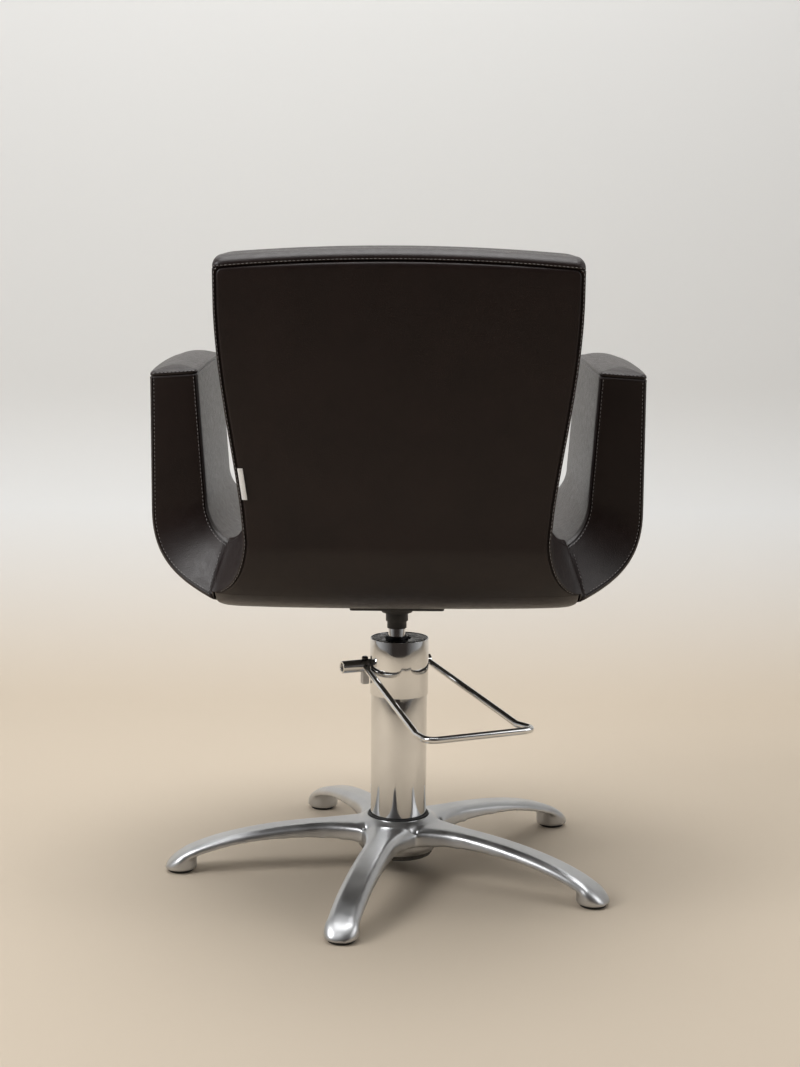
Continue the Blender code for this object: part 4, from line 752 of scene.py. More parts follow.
def outline(length, depth, radius, along, across, dips=(0, 0, 0, 0), crowns=(0, 0, 0, 0), rim=None):
    """Points (along, across) round a padded section. Each corner can hold a sewn dip, each side a crown.

    With a rim, given as (step, widen), the first two corners are sewn edges beside a panel."""
    radius = min(radius, depth / 2, length / 2)
    far, deep = length - radius, depth - radius
    centres = ((radius, radius), (far, radius), (far, deep), (radius, deep))
    arcs = []
    for k, (u, v) in enumerate(centres):
        stops = ARC_STOPS if k % 2 else [(1 - f, dip) for f, dip in reversed(ARC_STOPS)]
        turns = [(math.pi * (1 + k / 2 + f / 2), radius - dips[k] * dip) for f, dip in stops]
        arcs.append([(u + reach * math.cos(at), v + reach * math.sin(at)) for at, reach in turns])
    if rim:
        arcs[0] = rim_path(*rim)
        arcs[1] = [(length - u, v) for u, v in reversed(arcs[0])]
    points = []
    for k, arc in enumerate(arcs):
        (u, v), (u2, v2) = arc[-1], arcs[(k + 1) % 4][0]
        count, at = (across if k % 2 else along), math.pi * (1.5 + k / 2)
        points += arc
        for n in range(1, count + 1):
            t = n / (count + 1)
            crown = crowns[k] * (1 - abs(2 * t - 1) ** 3)
            points.append((u + (u2 - u) * t + crown * math.cos(at),
                           v + (v2 - v) * t + crown * math.sin(at)))
    return points


def corner_column(corner, stop, along, across):
    """Column of a corner's arc stop in an outline, with stops counted from the long side."""
    before = sum(len(ARC_STOPS) + (across if k % 2 else along) for k in range(corner))
    return before + (stop if corner % 2 else len(ARC_STOPS) - 1 - stop)


print("section of", len(outline(0.3, 0.07, 0.007, 26, 9)), "points")

# %% [markdown]
# ## The arms
# Each arm comes down from the arm rest and turns in under the seat in one sweep. Rows of sections are
# worked out from the bottom up, and a grid is laid over them. The row at the top seam is pulled in, and
# the last rows close over the arm rest as a low dome. The left arm is the right one mirrored.

# %% Arm rows
ARM_ALONG, ARM_ACROSS = 26, 9
ARM_CROWNS = (0.0018, 0.0012, 0.0028, 0.0008)
ARM_CROWN, ARM_TILT, CROWN_AT, CROWN_LOW = 0.0045, 0.0040, 0.02, 0.60
CURVE_FALL, CURVE_OUT, CURVE_RISE = 0.667, 0.0612, 0.0186
REAR_SWEEP, FRONT_SWEEP, BEND_ROUND = (0.090, 0.034), (0.115, 0.125), 0.004
TOP_SEAM, BELOW_SEAM = ARM_TOP - 0.0090, 0.0045
DOME_LOW, DOME_RISE, DOME_ROUND = ARM_TOP - 0.0024, 0.0046, 0.0062
SEAM_STEPS = ((-0.0018, -0.0003), (-0.0009, 0.0006), (0.0, 0.0014), (0.0009, 0.0006), (0.0017, 0.0))


def mixed(a, b, t):
    """The value at share t of the way from a to b."""
    return a + (b - a) * t


def arm_row(outer, inner, rear, front, inset=0.0, dip=SEAM_DIP, plump=1.0, radius=ARM_ROUND):
    """A section from the outer to the inner face, between its rear and front ends."""
    span = inner - outer
    depth = span.length
    length = (front[0] - rear[0] + front[1] - rear[1]) / 2 - 2 * inset
    crowns = [plump * crown for crown in ARM_CROWNS]
    row = []
    for u, v in outline(length, depth - 2 * inset, max(radius - 0.6 * inset, 0.003), ARM_ALONG, ARM_ACROSS,
                        (dip, dip, dip, dip), crowns):
        share = (v + inset) / depth
        ends = [rear[k] + inset + (front[k] - rear[k] - 2 * inset) * u / length for k in (0, 1)]
        point = outer + span * share
        row.append(Vector((point.x, mixed(ends[0], ends[1], share), point.z)))
    return row


def crowned(row):
    """Let the arm rest rise towards its middle and fall towards its outer edge."""
    out = []
    for point in row:
        lift = min(1.0, max(0.0, (point.z - CROWN_LOW) / (ARM_TOP - CROWN_LOW)))
        along = (point.y - CROWN_AT) / (CROWN_AT - ARM_REAR)
        aside = (point.x - ARM_IN_TOP) / (ARM_OUT - ARM_IN_TOP) - 0.25
        out.append(point + Vector((0.0, 0.0, lift * (ARM_CROWN * (1 - along**2) - ARM_TILT * aside))))
    return out


def arm_bend(share):
    """A row of the bend: 0 where it starts, 1 where it ends under the seat."""
    at, fall = share * math.pi / 2, ARM_BEND_OUT - ARM_END_LOW
    stops = ((ARM_OUT, ARM_BEND_OUT), (ARM_OUT, ARM_BEND_OUT - CURVE_FALL * fall),
             (ARM_END + CURVE_OUT, ARM_END_LOW + CURVE_RISE), (ARM_END, ARM_END_LOW))
    weights = ((1 - share) ** 3, 3 * share * (1 - share) ** 2, 3 * share ** 2 * (1 - share), share ** 3)
    outer = sum((Vector((x, 0.0, z)) * weight for (x, z), weight in zip(stops, weights)), Vector())
    inner = Vector((mixed(ARM_END, ARM_IN_LOW, math.cos(at)), 0.0,
                    mixed(ARM_BEND_IN, ARM_LIP, math.sin(at))))
    rear = [ARM_REAR - sweep * share ** 2 for sweep in REAR_SWEEP]
    front = [ARM_FRONT + sweep * share ** 1.5 for sweep in FRONT_SWEEP]
    plump = 1.0 + 1.5 * min(1.0, share / 0.3)
    return arm_row(outer, inner, rear, front, plump=plump, radius=ARM_ROUND + BEND_ROUND * share)


def arm_upright(low_out, low_in, inset=0.0, dip=SEAM_DIP, plump=1.0):
    """A row of the upright, given by the heights of its outer and inner edge."""
    share = max(0.0, (low_in - ARM_BEND_IN) / (ARM_TOP - ARM_BEND_IN))
    outer = Vector((ARM_OUT, 0.0, low_out))
    inner = Vector((mixed(ARM_IN_LOW, ARM_IN_TOP, share), 0.0, low_in))
    front = ARM_FRONT - 0.010 * share - 0.030 * share ** 5
    return arm_row(outer, inner, (ARM_REAR, ARM_REAR), (front, front), inset, dip, plump)


arm_rows = [arm_bend(1 - k / 28) for k in range(29)]
for k in range(1, 17):
    outer_high = mixed(ARM_BEND_OUT, TOP_SEAM - BELOW_SEAM, k / 16)
    inner_high = mixed(ARM_BEND_IN, TOP_SEAM - BELOW_SEAM, k / 16)
    arm_rows.append(arm_upright(outer_high, inner_high))
TOP_STITCH_ROW = len(arm_rows) - 1
for rise, inset in SEAM_STEPS:
    dip = 0.0 if rise > -0.001 else SEAM_DIP
    arm_rows.append(arm_upright(TOP_SEAM + rise, TOP_SEAM + rise, inset, dip))
for k in range(1, 8):
    at = math.pi / 2 * k / 7
    high = mixed(TOP_SEAM + SEAM_STEPS[-1][0], DOME_LOW, math.sin(at))
    arm_rows.append(arm_upright(high, high, DOME_ROUND * (1 - math.cos(at)), 0.0, math.cos(at)))
half_thick = (ARM_OUT - ARM_IN_TOP) / 2
for s in (0.1, 0.25, 0.45, 0.7, 0.88, 1.0):
    high = DOME_LOW + DOME_RISE * (1 - (1 - s) ** 2)
    inset = mixed(DOME_ROUND, half_thick, s)
    row = arm_upright(ARM_TOP, ARM_TOP, inset, 0.0, 0.0)
    arm_rows.append([Vector((point.x, point.y, high)) for point in row])
arm_rows = [crowned(row) for row in arm_rows]
print("arm rows:", len(arm_rows), "of", len(arm_rows[0]))

# %% [markdown]
# ## The seam between arm and back
# Arm and back meet in an upright seam at the rear corner of the seat. Both skins are cut by the same
# plane. Before the cut, a few loops are added beside it, and their points are drawn in, so that the two
# sides roll into a valley instead of meeting in a knife edge.

# %% Seam cut
SEAM_POINT = Vector((ARM_END, BACK_END, 0.0))
SEAM_RUN = (NOTCH - SEAM_POINT).normalized()
SEAM_NORMAL = Vector((-SEAM_RUN.y, SEAM_RUN.x, 0.0))
VALLEY = 0.0075


def seamed(bm, point, normal, depth=0.0026):
    """Keep the side of the plane that the normal points to, rolled in along the cut, less so underneath."""
    bmesh.ops.recalc_face_normals(bm, faces=bm.faces[:])
    for off in (1.0, 0.72, 0.48, 0.28, 0.12):
        bmesh.ops.bisect_plane(bm, geom=bm.verts[:] + bm.edges[:] + bm.faces[:], dist=1e-6,
                               plane_co=point + normal * (VALLEY * off), plane_no=normal)
    bmesh.ops.bisect_plane(bm, geom=bm.verts[:] + bm.edges[:] + bm.faces[:], dist=1e-6,
                           plane_co=point + normal * (GAP / 2), plane_no=normal, clear_inner=True)
    bm.normal_update()
    for vert in bm.verts:
        off = (vert.co - point).dot(normal) / VALLEY
        tight = 0.1 if vert.normal.z < -0.35 else 1.0
        if off < 1.0:
            vert.co -= vert.normal * depth * tight * (1 - off) ** 2
    return capped(bm)


def mirrored(bm):
    """The same shape on the other side of the chair."""
    bmesh.ops.scale(bm, vec=(-1, 1, 1), verts=bm.verts[:])
    return bm


for word, side in (("right", 1), ("left", -1)):
    arm = seamed(capped(skinned(arm_rows)), SEAM_POINT, SEAM_NORMAL)
    if side < 0:
        arm = mirrored(arm)
    on_rod(arm)
    made = piece("padded_arm_" + word, arm, "seat", leather, ["arm_" + word], crease=70.0)

# %% [markdown]
# ## The back
# The back is a shell of the same kind: it rises from under the seat, leans back and ends in a rolled
# top. Its rear is set in by the thickness of the outside panel, and the top roll stands over the
# panel's upper edge like a cap. The top line sags a little towards its corners.

# %% Back rows
BACK_SLOPE = (BACK_TOP_REAR - BACK_LOW_REAR) / (BACK_SEAM - BACK_BEND_OUT)
ARCH_FROM = BACK_FROM + (BACK_SEAM - BACK_FROM) * 0.67
BACK_ALONG, BACK_ACROSS = 40, 8
FLARE_FROM, FLARE_END, FLARE_OUT = 0.505, 0.4293, 0.0440
CORNER, CORNER_NORMAL = Vector((0.230, -0.2467, 0.4293)), Vector((0.957, 0.036, 0.291))
CORNER_TOP, CORNER_SPREAD = 0.50, 0.30
SWELL_EARLY, SWELL_RUN, SWELL_POWER = 0.010, 0.917, 1.6
TUCK, TUCK_FROM, TUCK_TOP, TUCK_RUN = 0.012, 0.192, 0.475, 0.030


def side_limit(y, z):
    """Half width at which the back's side meets the arm, on a plane through the seam and the corner."""
    lean = CORNER_NORMAL.y * (y - CORNER.y) + CORNER_NORMAL.z * (z - CORNER.z)
    spread = CORNER_SPREAD * max(0.0, CORNER.z - z)
    return CORNER.x - lean / CORNER_NORMAL.x + spread if z < CORNER_TOP else 1.0


def bend_share(z):
    """The share of the bend at which the rear face has come down to a height."""
    return math.asin((BACK_BEND_OUT - z) / (BACK_BEND_OUT - SHELL_LOW)) / (math.pi / 2)


CORNER_STEPS = (0.0060, 0.0044, 0.0031, 0.0021, 0.0013, 0.0007, 0.0003, 0.0, -0.0010)
BEND_SHARES = [k / 36 for k in range(37)] + [bend_share(FLARE_END + step) for step in CORNER_STEPS]
BEND_SHARES.sort(reverse=True)


def back_stop(share, height=None):
    """Rear point, front point and half width, round the bend or at a height."""
    if height is None:
        at = share * math.pi / 2
        out, sunk = math.cos(at), math.sin(at)
        rear = Vector((0.0, mixed(BACK_END, BACK_LOW_REAR, out), mixed(BACK_BEND_OUT, SHELL_LOW, sunk)))
        front = Vector((0.0, mixed(BACK_END, BACK_LOW_FRONT, out), mixed(BACK_BEND_IN, SEAT_LINE, sunk)))
        down = min(1.0, max(0.0, (FLARE_FROM - rear.z) / (FLARE_FROM - FLARE_END)))
        half = BACK_WAIST + FLARE_OUT * (1 - math.sqrt(1 - down**2))
        return rear, front, min(half, side_limit(rear.y, rear.z))
    rise = (height - BACK_BEND_OUT) / (BACK_SEAM - BACK_BEND_OUT)
    rise_in = (height - BACK_BEND_IN) / (BACK_SEAM - BACK_BEND_IN)
    rear = Vector((0.0, mixed(BACK_LOW_REAR, BACK_TOP_REAR, rise), height))
    front = Vector((0.0, mixed(BACK_LOW_FRONT, BACK_TOP_FRONT, rise_in), height))
    swell = (height - BACK_BEND_OUT + SWELL_EARLY) / ((BACK_SEAM - BACK_BEND_OUT) * SWELL_RUN)
    swell = min(1.0, max(0.0, swell))
    return rear, front, BACK_WAIST + BACK_SPREAD * math.sin(swell * math.pi / 2) ** SWELL_POWER


def arched(point):
    """Let the top fall away towards its corners, and tuck the lower corners in towards the arms."""
    lift = min(1.0, max(0.0, (point.z - ARCH_FROM) / (BACK_SEAM - ARCH_FROM)))
    fall = BACK_ARCH * (point.x / (BACK_WAIST + BACK_SPREAD)) ** 2 * lift ** 2
    low = min(1.0, max(0.0, (TUCK_TOP - point.z) / TUCK_RUN))
    tuck = TUCK * low * max(0.0, (abs(point.x) - TUCK_FROM) / (CORNER.x - TUCK_FROM)) ** 2
    return point - Vector((0.0, BACK_SLOPE, 1.0)) * fall + Vector((0.0, tuck, 0.0))


def back_row(stop, radius, dips, crowns, start=0.0, end=None, narrow=0.0, inset=0.0,
             along=BACK_ALONG, across=BACK_ACROSS, rim=None):
    """A section between two depths below the rear face; without an end it runs to the front face."""
    rear, front, half = stop
    inwards = (front - rear).normalized()
    deep = ((front - rear).length if end is None else end) - start
    row = []
    wide = 2 * (half - narrow - inset)
    for u, v in outline(wide, deep - 2 * inset, radius, along, across, dips, crowns, rim):
        point = rear + inwards * (start + inset + v) + Vector((u - half + narrow + inset, 0.0, 0.0))
        limit = side_limit(point.y, point.z)
        point.x = min(limit, max(-limit, point.x))
        row.append(arched(point))
    return row


def panel_depth(share):
    """The outside panel thins out under the seat."""
    return PANEL_THICK * (1 - PANEL_THINNER * share ** 2)


PANEL_THINNER, PANEL_ROUND, STEP_IN = 0.55, 0.0080, PANEL_THICK + GAP
FRONT_DIPS, ALL_DIPS, FLAT = (0.0, 0.0, SEAM_DIP, SEAM_DIP), (SEAM_DIP,) * 4, (0,) * 4
PLUMP, BEND_PLUMP = (0.0, 0.0010, 0.0050, 0.0010), (0, 0, 0.0035, 0)
SIDE_ROUND, BEND_ROUNDER, BAND_ROUND, TOP_ROUND, TOP_SLOPE = 0.008, 0.010, 0.009, 0.010, 0.016
BAND_LOW, TOP_EDGE, TOP_RISE = BACK_SEAM + 0.0024, BACK_TOP - 0.0016, 0.0020
back_rows = []
for share in BEND_SHARES:
    rim, radius = (panel_depth(share) + GAP, 0.0), SIDE_ROUND + BEND_ROUNDER * min(1.0, share / 0.4)
    back_rows.append(back_row(back_stop(share), radius, FRONT_DIPS, BEND_PLUMP, rim=rim))
heights = [mixed(BACK_FROM, BACK_SEAM - PANEL_ROUND, k / 24) for k in range(25)]
heights += [BACK_SEAM - PANEL_ROUND * part for part in (0.8, 0.6, 0.42, 0.27, 0.15, 0.06)]
for height in heights:
    near = max(0.0, PANEL_ROUND - (BACK_SEAM - height))
    widen = PANEL_ROUND - math.sqrt(PANEL_ROUND**2 - near**2)
    back_rows.append(back_row(back_stop(0, height), SIDE_ROUND, FRONT_DIPS, PLUMP, rim=(STEP_IN, widen)))
SIDE_ROWS = len(back_rows)
for rise, start in ((0.0, 0.0060), (0.0003, 0.0028), (0.0010, 0.0010)):
    back_rows.append(back_row(back_stop(0, BACK_SEAM + rise), BAND_ROUND, FRONT_DIPS, PLUMP, start))
back_rows.append(back_row(back_stop(0, BAND_LOW), TOP_ROUND, ALL_DIPS, PLUMP))
TOP_BAND_ROW = len(back_rows) - 1
for k in range(1, 11):
    at = math.pi / 2 * k / 10
    height, fade = mixed(BAND_LOW, TOP_EDGE, math.sin(at)), math.cos(at)
    dips = (SEAM_DIP, SEAM_DIP, SEAM_DIP * fade, SEAM_DIP * fade)
    back_rows.append(back_row(back_stop(0, height), TOP_ROUND, dips, [crown * fade for crown in PLUMP],
                              start=TOP_SLOPE * (1 - fade), inset=TOP_ROUND * (1 - fade)))
rear, front, _ = back_stop(0, BACK_TOP)
half_deep = ((front - rear).length - TOP_SLOPE) / 2
for s in (0.2, 0.45, 0.7, 0.88, 1.0):
    height, dips = TOP_EDGE + TOP_RISE * (1 - (1 - s) ** 2), ALL_DIPS if s < 0.5 else FLAT
    inset = mixed(TOP_ROUND, half_deep, s)
    row = back_row(back_stop(0, BACK_TOP), TOP_ROUND, dips, FLAT, start=TOP_SLOPE, inset=inset)
    back_rows.append([point + Vector((0, 0, height - BACK_TOP)) for point in row])
LEFT_POINT = Vector((-SEAM_POINT.x, SEAM_POINT.y, 0.0))
LEFT_NORMAL = Vector((-SEAM_NORMAL.x, SEAM_NORMAL.y, 0.0))
back = capped(skinned(back_rows))
back = seamed(seamed(back, SEAM_POINT, -SEAM_NORMAL), LEFT_POINT, -LEFT_NORMAL)
on_rod(back)
piece("padded_back", back, "seat", leather, ["back_cushion"], crease=70.0)

# %% [markdown]
# ## Outside panel and welt
# The hide on the outside of the back is stretched over its own thin padding and sewn in beside the rolled
# rim of the back, and a thin welt fills the groove between them. The panel is a thin padded section with a
# rounded edge; the welt is a round bar low in the groove, up one side, over the top and down the other.

# %% Outside panel
PANEL_IN, PANEL_TOP = RIM_EDGE + 0.0008, BACK_SEAM - 0.0006
PANEL_ALONG, PANEL_ACROSS, PANEL_CROWN, PANEL_SINK, PANEL_VALLEY = 48, 2, 0.0030, 0.0030, 0.0012
BEND_EDGE, SIDE_EDGE, TOP_EDGE_ROUND = 0.0030, 0.0034, 0.0040


def panel_row(stop, radius, end=PANEL_THICK, narrow=PANEL_IN, start=0.0, crown=PANEL_CROWN):
    """A thin padded section with a crown on its rear face only."""
    return back_row(stop, radius, FLAT, (crown, 0, 0, 0), start, end, narrow,
                    along=PANEL_ALONG, across=PANEL_ACROSS)


panel_rows = [panel_row(back_stop(share), BEND_EDGE, panel_depth(share)) for share in BEND_SHARES]
for k in range(25):
    height = mixed(BACK_FROM, PANEL_TOP - PANEL_ROUND, k / 24)
    panel_rows.append(panel_row(back_stop(0, height), SIDE_EDGE))
for k in range(1, 13):
    at = math.pi / 2 * k / 12
    height = PANEL_TOP - PANEL_ROUND * (1 - math.sin(at))
    narrow = PANEL_IN + PANEL_ROUND * (1 - math.cos(at))
    start = PANEL_SINK * (1 - math.cos(at)) ** 2
    panel_rows.append(panel_row(back_stop(0, height), TOP_EDGE_ROUND, PANEL_THICK, narrow, start,
                                PANEL_CROWN * math.cos(at)))
panel = capped(skinned(panel_rows))
panel = seamed(panel, SEAM_POINT, -SEAM_NORMAL, PANEL_VALLEY)
panel = seamed(panel, LEFT_POINT, -LEFT_NORMAL, PANEL_VALLEY)
on_rod(panel)
piece("outside_panel", panel, "seat", leather, ["back_panel"], crease=70.0)


CORD_RADIUS, CORD_DEEP, BEND_DEEP, CORD_IN = 0.0008, 0.0033, 0.0030, RIM_EDGE + 0.0005
CORNER_BELOW, CORNER_ASIDE = 0.012, 0.016


def welt_point(stop, aside=CORD_IN, deep=CORD_DEEP):
    """A point beside the right edge of the back, below its rear face."""
    rear, front, half = stop
    return arched(rear + (front - rear).normalized() * deep + Vector((half - aside, 0, 0)))


above_corner = [share for share in BEND_SHARES if share <= bend_share(FLARE_END)]
run = [welt_point(back_stop(share), deep=BEND_DEEP) for share in above_corner]
run += [welt_point(back_stop(0, mixed(BACK_FROM, PANEL_TOP - CORNER_BELOW, k / 24))) for k in range(25)]
corner = welt_point(back_stop(0, PANEL_TOP))
rear, front, half = back_stop(0, PANEL_TOP)
across_top = []
for k in range(25):
    x = (half - CORNER_ASIDE) * (1 - k / 12)
    across_top.append(arched(rear + (front - rear).normalized() * CORD_DEEP + Vector((x, 0, 0))))
other = [Vector((-point.x, point.y, point.z)) for point in reversed(run)]
far_corner = Vector((-corner.x, corner.y, corner.z))
line = run[:-1] + eased([run[-1], corner, across_top[0]], PANEL_ROUND, 8)[:-1] + across_top
line += eased([across_top[-1], far_corner, other[0]], PANEL_ROUND, 8)[1:] + other[1:]
welt = tube(line, CORD_RADIUS, 3)
on_rod(welt)
piece("welt_cord", welt, "seat", leather, ["back_welt"], crease=70.0)

# %% [markdown]
# ## Stitches
# Beside every seam of the cover runs a row of light stitches, about five millimetres each. A stitch is a
# thread that dips into the hide at both ends, so a long thin bead, half sunk, stands for it. The beads
# follow columns and rows of the sections that were just made, where the seams were drawn in.

# %% Stitches
def grid_line(rows, places):
    """Points of a grid with their normals, for a list of (row, column) places."""
    out = []
    for i, k in places:
        row, above, below = rows[i], rows[min(i + 1, len(rows) - 1)], rows[max(i - 1, 0)]
        middle = sum(row, Vector()) / len(row)
        normal = (row[(k + 1) % len(row)] - row[k - 1]).cross(above[k] - below[k]).normalized()
        out.append((row[k], normal if normal.dot(row[k] - middle) > 0 else -normal))
    return out


def seam_line(rows, off, seen):
    """Points of a skin on a plane beside the upright seam, with their normals, kept where they are seen."""
    bm = skinned(rows)
    bmesh.ops.recalc_face_normals(bm, faces=bm.faces[:])
    cut = bmesh.ops.bisect_plane(bm, geom=bm.verts[:] + bm.edges[:] + bm.faces[:], dist=1e-6,
                                 plane_co=SEAM_POINT + SEAM_NORMAL * off, plane_no=SEAM_NORMAL)["geom_cut"]
    bm.normal_update()
    found = [(vert.co.copy(), vert.normal.copy()) for vert in cut if isinstance(vert, bmesh.types.BMVert)]
    bm.free()
    return sorted((pair for pair in found if seen(*pair)), key=lambda pair: pair[0].z)


STITCH_PITCH, STITCH_LONG, STITCH_THICK = 0.0050, 0.0034, 0.00042
bead = bmesh.new()
bmesh.ops.create_uvsphere(bead, u_segments=6, v_segments=4, radius=1.0)
bead.verts.index_update()
BEAD_POINTS = [vert.co.copy() for vert in bead.verts]
BEAD_FACES = [[vert.index for vert in face.verts] for face in bead.faces]
bead.free()


def stitched(bm, line):
    """Lay beads along a line of points and normals, evenly spaced and half sunk."""
    walked, due = 0.0, STITCH_PITCH / 2
    for (a, normal_a), (b, normal_b) in zip(line, line[1:]):
        step = (b - a).length
        while step > 1e-7 and walked + step >= due:
            t = (due - walked) / step
            along = (b - a).normalized()
            side = along.cross(normal_a.lerp(normal_b, t)).normalized()
            turn = Matrix((along, side, along.cross(side))).transposed().to_4x4()
            size = Matrix.Diagonal((STITCH_LONG / 2, STITCH_THICK, STITCH_THICK, 1.0))
            place = Matrix.Translation(a.lerp(b, t)) @ turn @ size
            verts = [bm.verts.new(place @ point) for point in BEAD_POINTS]
            for face in BEAD_FACES:
                bm.faces.new([verts[k] for k in face])
            due += STITCH_PITCH
        walked += step


def arm_side(line):
    """The part of a line that stays clear of the valley."""
    return [pair for pair in line if (pair[0] - SEAM_POINT).dot(SEAM_NORMAL) > CLEAR_OFF]


def behind_arm(at, up):
    """Whether a point beside the seam lies on the rear of the arm."""
    return up.y < -0.25 and up.z > -0.3 and at.y < -0.19


def beside_back(at, up):
    """Whether a point beside the seam lies on the side of the back, above the corner."""
    return at.x > 0.15 and up.x > 0.35 and 0.434 < at.z < 0.482


SEAM_OFF, CLEAR_OFF, DOME_STITCH = 0.0052, 0.0065, 7
ARM_COLUMNS, CORNER_LOW = len(arm_rows[0]), FLARE_END + 0.002
arm_lines = []
for corner in range(4):
    column = corner_column(corner, STITCH_STOP, ARM_ALONG, ARM_ACROSS)
    arm_lines.append(arm_side(grid_line(arm_rows, [(i, column) for i in range(TOP_STITCH_ROW + 1)])))
around = [(TOP_STITCH_ROW + DOME_STITCH, k % ARM_COLUMNS) for k in range(ARM_COLUMNS + 1)]
arm_lines.append(grid_line(arm_rows, around))
arm_lines.append(seam_line(arm_rows, SEAM_OFF, behind_arm))
back_lines = [seam_line(back_rows, -SEAM_OFF, beside_back)]
right_rim = len(ARC_STOPS) + BACK_ALONG + len(ARC_STOPS) - 1 - RIM_STITCH
rim_line = grid_line(back_rows, [(i, right_rim) for i in range(SIDE_ROWS)])
back_lines.append([pair for pair in rim_line if pair[0].z > CORNER_LOW])
top_line = grid_line(back_rows, [(TOP_BAND_ROW, k) for k in range(RIM_STITCH, right_rim + 1)])
for word, side in (("right", 1), ("left", -1)):
    threads = bmesh.new()
    for line in arm_lines + back_lines:
        stitched(threads, line)
    if side < 0:
        threads = mirrored(threads)
    else:
        stitched(threads, top_line)
    on_rod(threads)
    piece("stitches_" + word, threads, "seat", thread, crease=180.0)

# %% [markdown]
# ## The sewn-in tag
# A bare white tag hangs out of the left side groove: a woven ribbon, folded once, with both ends caught
# in the seam. It lies on the panel, so its path is drawn in the panel's section and swept along the groove.

# %% Sewn-in tag
TAG_LOW, TAG_TOP, TAG_OUT = 0.552, 0.5905, 0.0066
lower = [(RIM_EDGE + 0.0009, 0.0050), (RIM_EDGE + 0.0010, 0.0028), (PANEL_IN + 0.0006, 0.0009),
         (PANEL_IN + 0.0020, -0.0002), (PANEL_IN + 0.0044, -0.0007), (PANEL_IN + TAG_OUT - 0.0003, -0.0010)]
upper = [(PANEL_IN + TAG_OUT, -0.0013), (PANEL_IN + TAG_OUT - 0.0003, -0.0016),
         (PANEL_IN + 0.0044, -0.0014), (PANEL_IN + 0.0020, -0.0009), (PANEL_IN + 0.0001, 0.0004),
         (RIM_EDGE + 0.0005, 0.0026), (RIM_EDGE + 0.0004, 0.0050)]
tag_rows = []
for k in range(13):
    rear, front, half = back_stop(0, mixed(TAG_LOW, TAG_TOP, k / 12))
    inwards = (front - rear).normalized()
    lift = 0.0006 * math.sin(math.pi * k / 12) + 0.0004
    row = []
    for aside, below in lower + upper:
        deep = below - lift * aside / PANEL_IN / 2
        row.append(rear + inwards * deep + Vector((aside - half, 0.0, 0.0)))
    tag_rows.append(row)
tag = skinned(tag_rows, closed=False)
on_rod(tag)
sewn_tag = piece("sewn_tag", tag, "seat", tag_cloth, crease=180.0)

# %% [markdown]
# ## The dust cover
# A thin black cloth closes the underside of the seat board. It is cut to size, pulled flat and stapled
# along its rim. It is a plain grid with a slight wave between the staples; each staple is a small bar.

# %% Dust cover
low, high = (Vector(corner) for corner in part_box("dust_cover"))
COVER_Z, COVER_WAVE, STAPLE_PITCH, STAPLE = low.z + 0.0010, 0.0003, 0.040, (0.010, 0.0007, 0.0005)
STAPLE_END, STAPLE_IN, STAPLE_DROP = 0.012, 0.006, 0.0004
cover_rows = []
for i in range(33):
    y, row = mixed(low.y, high.y, i / 32), []
    for k in range(33):
        wave = COVER_WAVE * math.sin(k * math.pi / 2) * math.sin(i)
        row.append(Vector((mixed(low.x, high.x, k / 32), y, COVER_Z + wave)))
    cover_rows.append(row)
cover = skinned(cover_rows, closed=False)
dust_sheet = piece("dust_sheet", cover, "seat", dust_cloth, ["dust_cover"], crease=180.0)
staples = bmesh.new()
for low_end, high_end, along in ((low.x, high.x, 0), (low.y, high.y, 1)):
    count = int((high_end - low_end) / STAPLE_PITCH)
    for k in range(count + 1):
        at = mixed(low_end + STAPLE_END, high_end - STAPLE_END, k / count)
        other = 1 - along
        for edge in (low[other] + STAPLE_IN, high[other] - STAPLE_IN):
            place = (at, edge) if along == 0 else (edge, at)
            size = STAPLE if along == 0 else (STAPLE[1], STAPLE[0], STAPLE[2])
            laid = Matrix.Translation((*place, COVER_Z - STAPLE_DROP)) @ Matrix.Diagonal((*size, 1.0))
            bmesh.ops.create_cube(staples, size=1.0, matrix=laid)
staple_bars = piece("staples", staples, "seat", zinc_steel)

# %% [markdown]
# ## The seat cushion
# The seat is a foam pad under a loose-fitting hide, so it is blown up as cloth. A plain loft slightly
# smaller than the pad is remeshed evenly, its rim against board, arms and back is pinned, and a little
# air pressure rounds the top and the front. The result is kept as a mesh, and no cloth stays behind.

# %% Seat cushion
BOARD_HALF, BOARD_REAR, BOARD_FRONT = ARM_END - GAP, BACK_END + GAP, SEAT_FRONT - 0.034
SEAT_CROWN, EDGE_DROP, EDGE_FROM, EDGE_RUN = 0.012, 0.006, 0.955, 0.045
SEAT_SHARES = (-1.0, -EDGE_FROM, -0.8, -0.5, 0.0, 0.5, 0.8, EDGE_FROM, 1.0)


def seat_row(x):
    """Outline of the seat pad from rear to front, at a distance from the middle."""
    edge = abs(x) / BOARD_HALF
    crown = SEAT_CROWN * (1 - edge ** 2) - EDGE_DROP * max(0.0, (edge - EDGE_FROM) / EDGE_RUN)
    lip, lip_rear, low = SHELL_LOW + 0.001, BOARD_FRONT + GAP, BOARD_TOP + GAP
    points = [(BOARD_REAR, low), (lip_rear, low), (lip_rear, lip), (SEAT_FRONT - 0.009, lip),
              (SEAT_FRONT - 0.003, lip + 0.007), (SEAT_FRONT - 0.002, SEAT_LINE - 0.0418),
              (SEAT_FRONT - 0.008, SEAT_LINE - 0.018),
              (SEAT_FRONT - 0.022, SEAT_LINE - 0.003 + crown * 0.5),
              (SEAT_FRONT - 0.046, SEAT_LINE + 0.005 + crown), (0.17, SEAT_LINE + 0.004 + crown),
              (0.0, SEAT_LINE + 0.002 + crown), (-0.1, SEAT_LINE + crown),
              (BOARD_REAR, SEAT_LINE - 0.004 + crown * 0.4)]
    return [Vector((x, y, z)) for y, z in points]


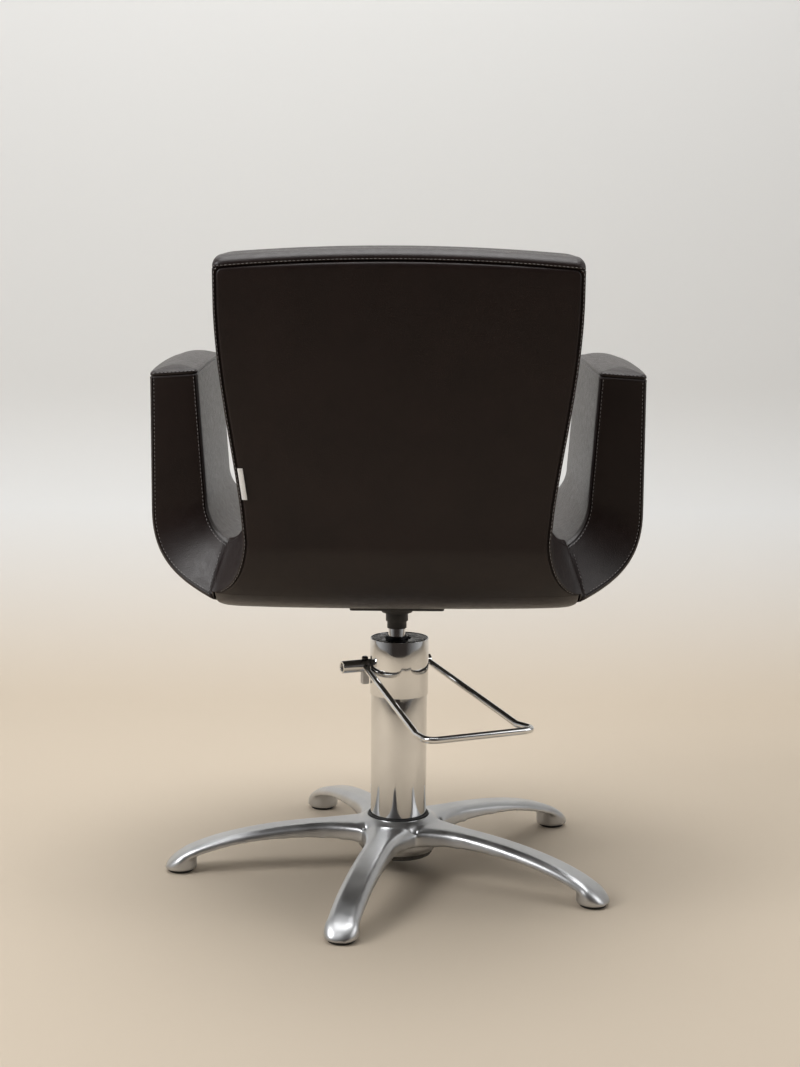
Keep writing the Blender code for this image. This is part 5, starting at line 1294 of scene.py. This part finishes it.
def blown(bm, pinned, voxel=0.005, pressure=4.0, limit=0.006, frames=20):
    """Remesh a closed shape, blow it up as cloth and return the result. No point moves past the limit."""
    item = scratch(bm, "blown")
    even = item.modifiers.new("even", "REMESH")
    even.mode = "VOXEL"
    even.voxel_size = voxel
    bpy.context.view_layer.update()
    bm = as_bmesh(item)
    start = [vert.co.copy() for vert in bm.verts]
    item = scratch(bm, "blown")
    group = item.vertex_groups.new(name="held")
    group.add([k for k, place in enumerate(start) if pinned(place)], 1.0, "REPLACE")
    cloth = item.modifiers.new("air", "CLOTH")
    cloth.settings.quality = 5
    cloth.settings.mass = 0.4
    cloth.settings.tension_stiffness = 20
    cloth.settings.compression_stiffness = 20
    cloth.settings.bending_stiffness = 0.6
    cloth.settings.use_pressure = True
    cloth.settings.uniform_pressure_force = pressure
    cloth.settings.effector_weights.gravity = 0.0
    cloth.settings.vertex_group_mass = "held"
    cloth.point_cache.frame_start = 1
    cloth.point_cache.frame_end = frames
    for moment in range(1, frames + 1):
        scene.frame_set(moment)
    bm = as_bmesh(item)
    scene.frame_set(1)
    for vert, place in zip(bm.verts, start):
        move = vert.co - place
        if move.length > limit:
            vert.co = place + move * (limit / move.length)
    return bm


def held(place):
    """The seat is held where it lies on the board and against the arms and the back."""
    low = place.z < BOARD_TOP + 0.004 and place.y < SEAT_FRONT - 0.02
    return low or abs(place.x) > BOARD_HALF - 0.003 or place.y < BOARD_REAR + 0.004


seat = capped(skinned([seat_row(BOARD_HALF * share) for share in SEAT_SHARES]))
bmesh.ops.recalc_face_normals(seat, faces=seat.faces[:])
bmesh.ops.triangulate(seat, faces=[face for face in seat.faces if len(face.verts) > 4])
seat = blown(seat, held)
on_rod(seat)
seat_pad = piece("padded_seat", seat, "seat", leather, ["seat_cushion"], crease=100.0)
finer = seat_pad.modifiers.new("finer", "SUBSURF")
finer.levels = finer.render_levels = 1

# %% [markdown]

# %% Done
print("dressing done")
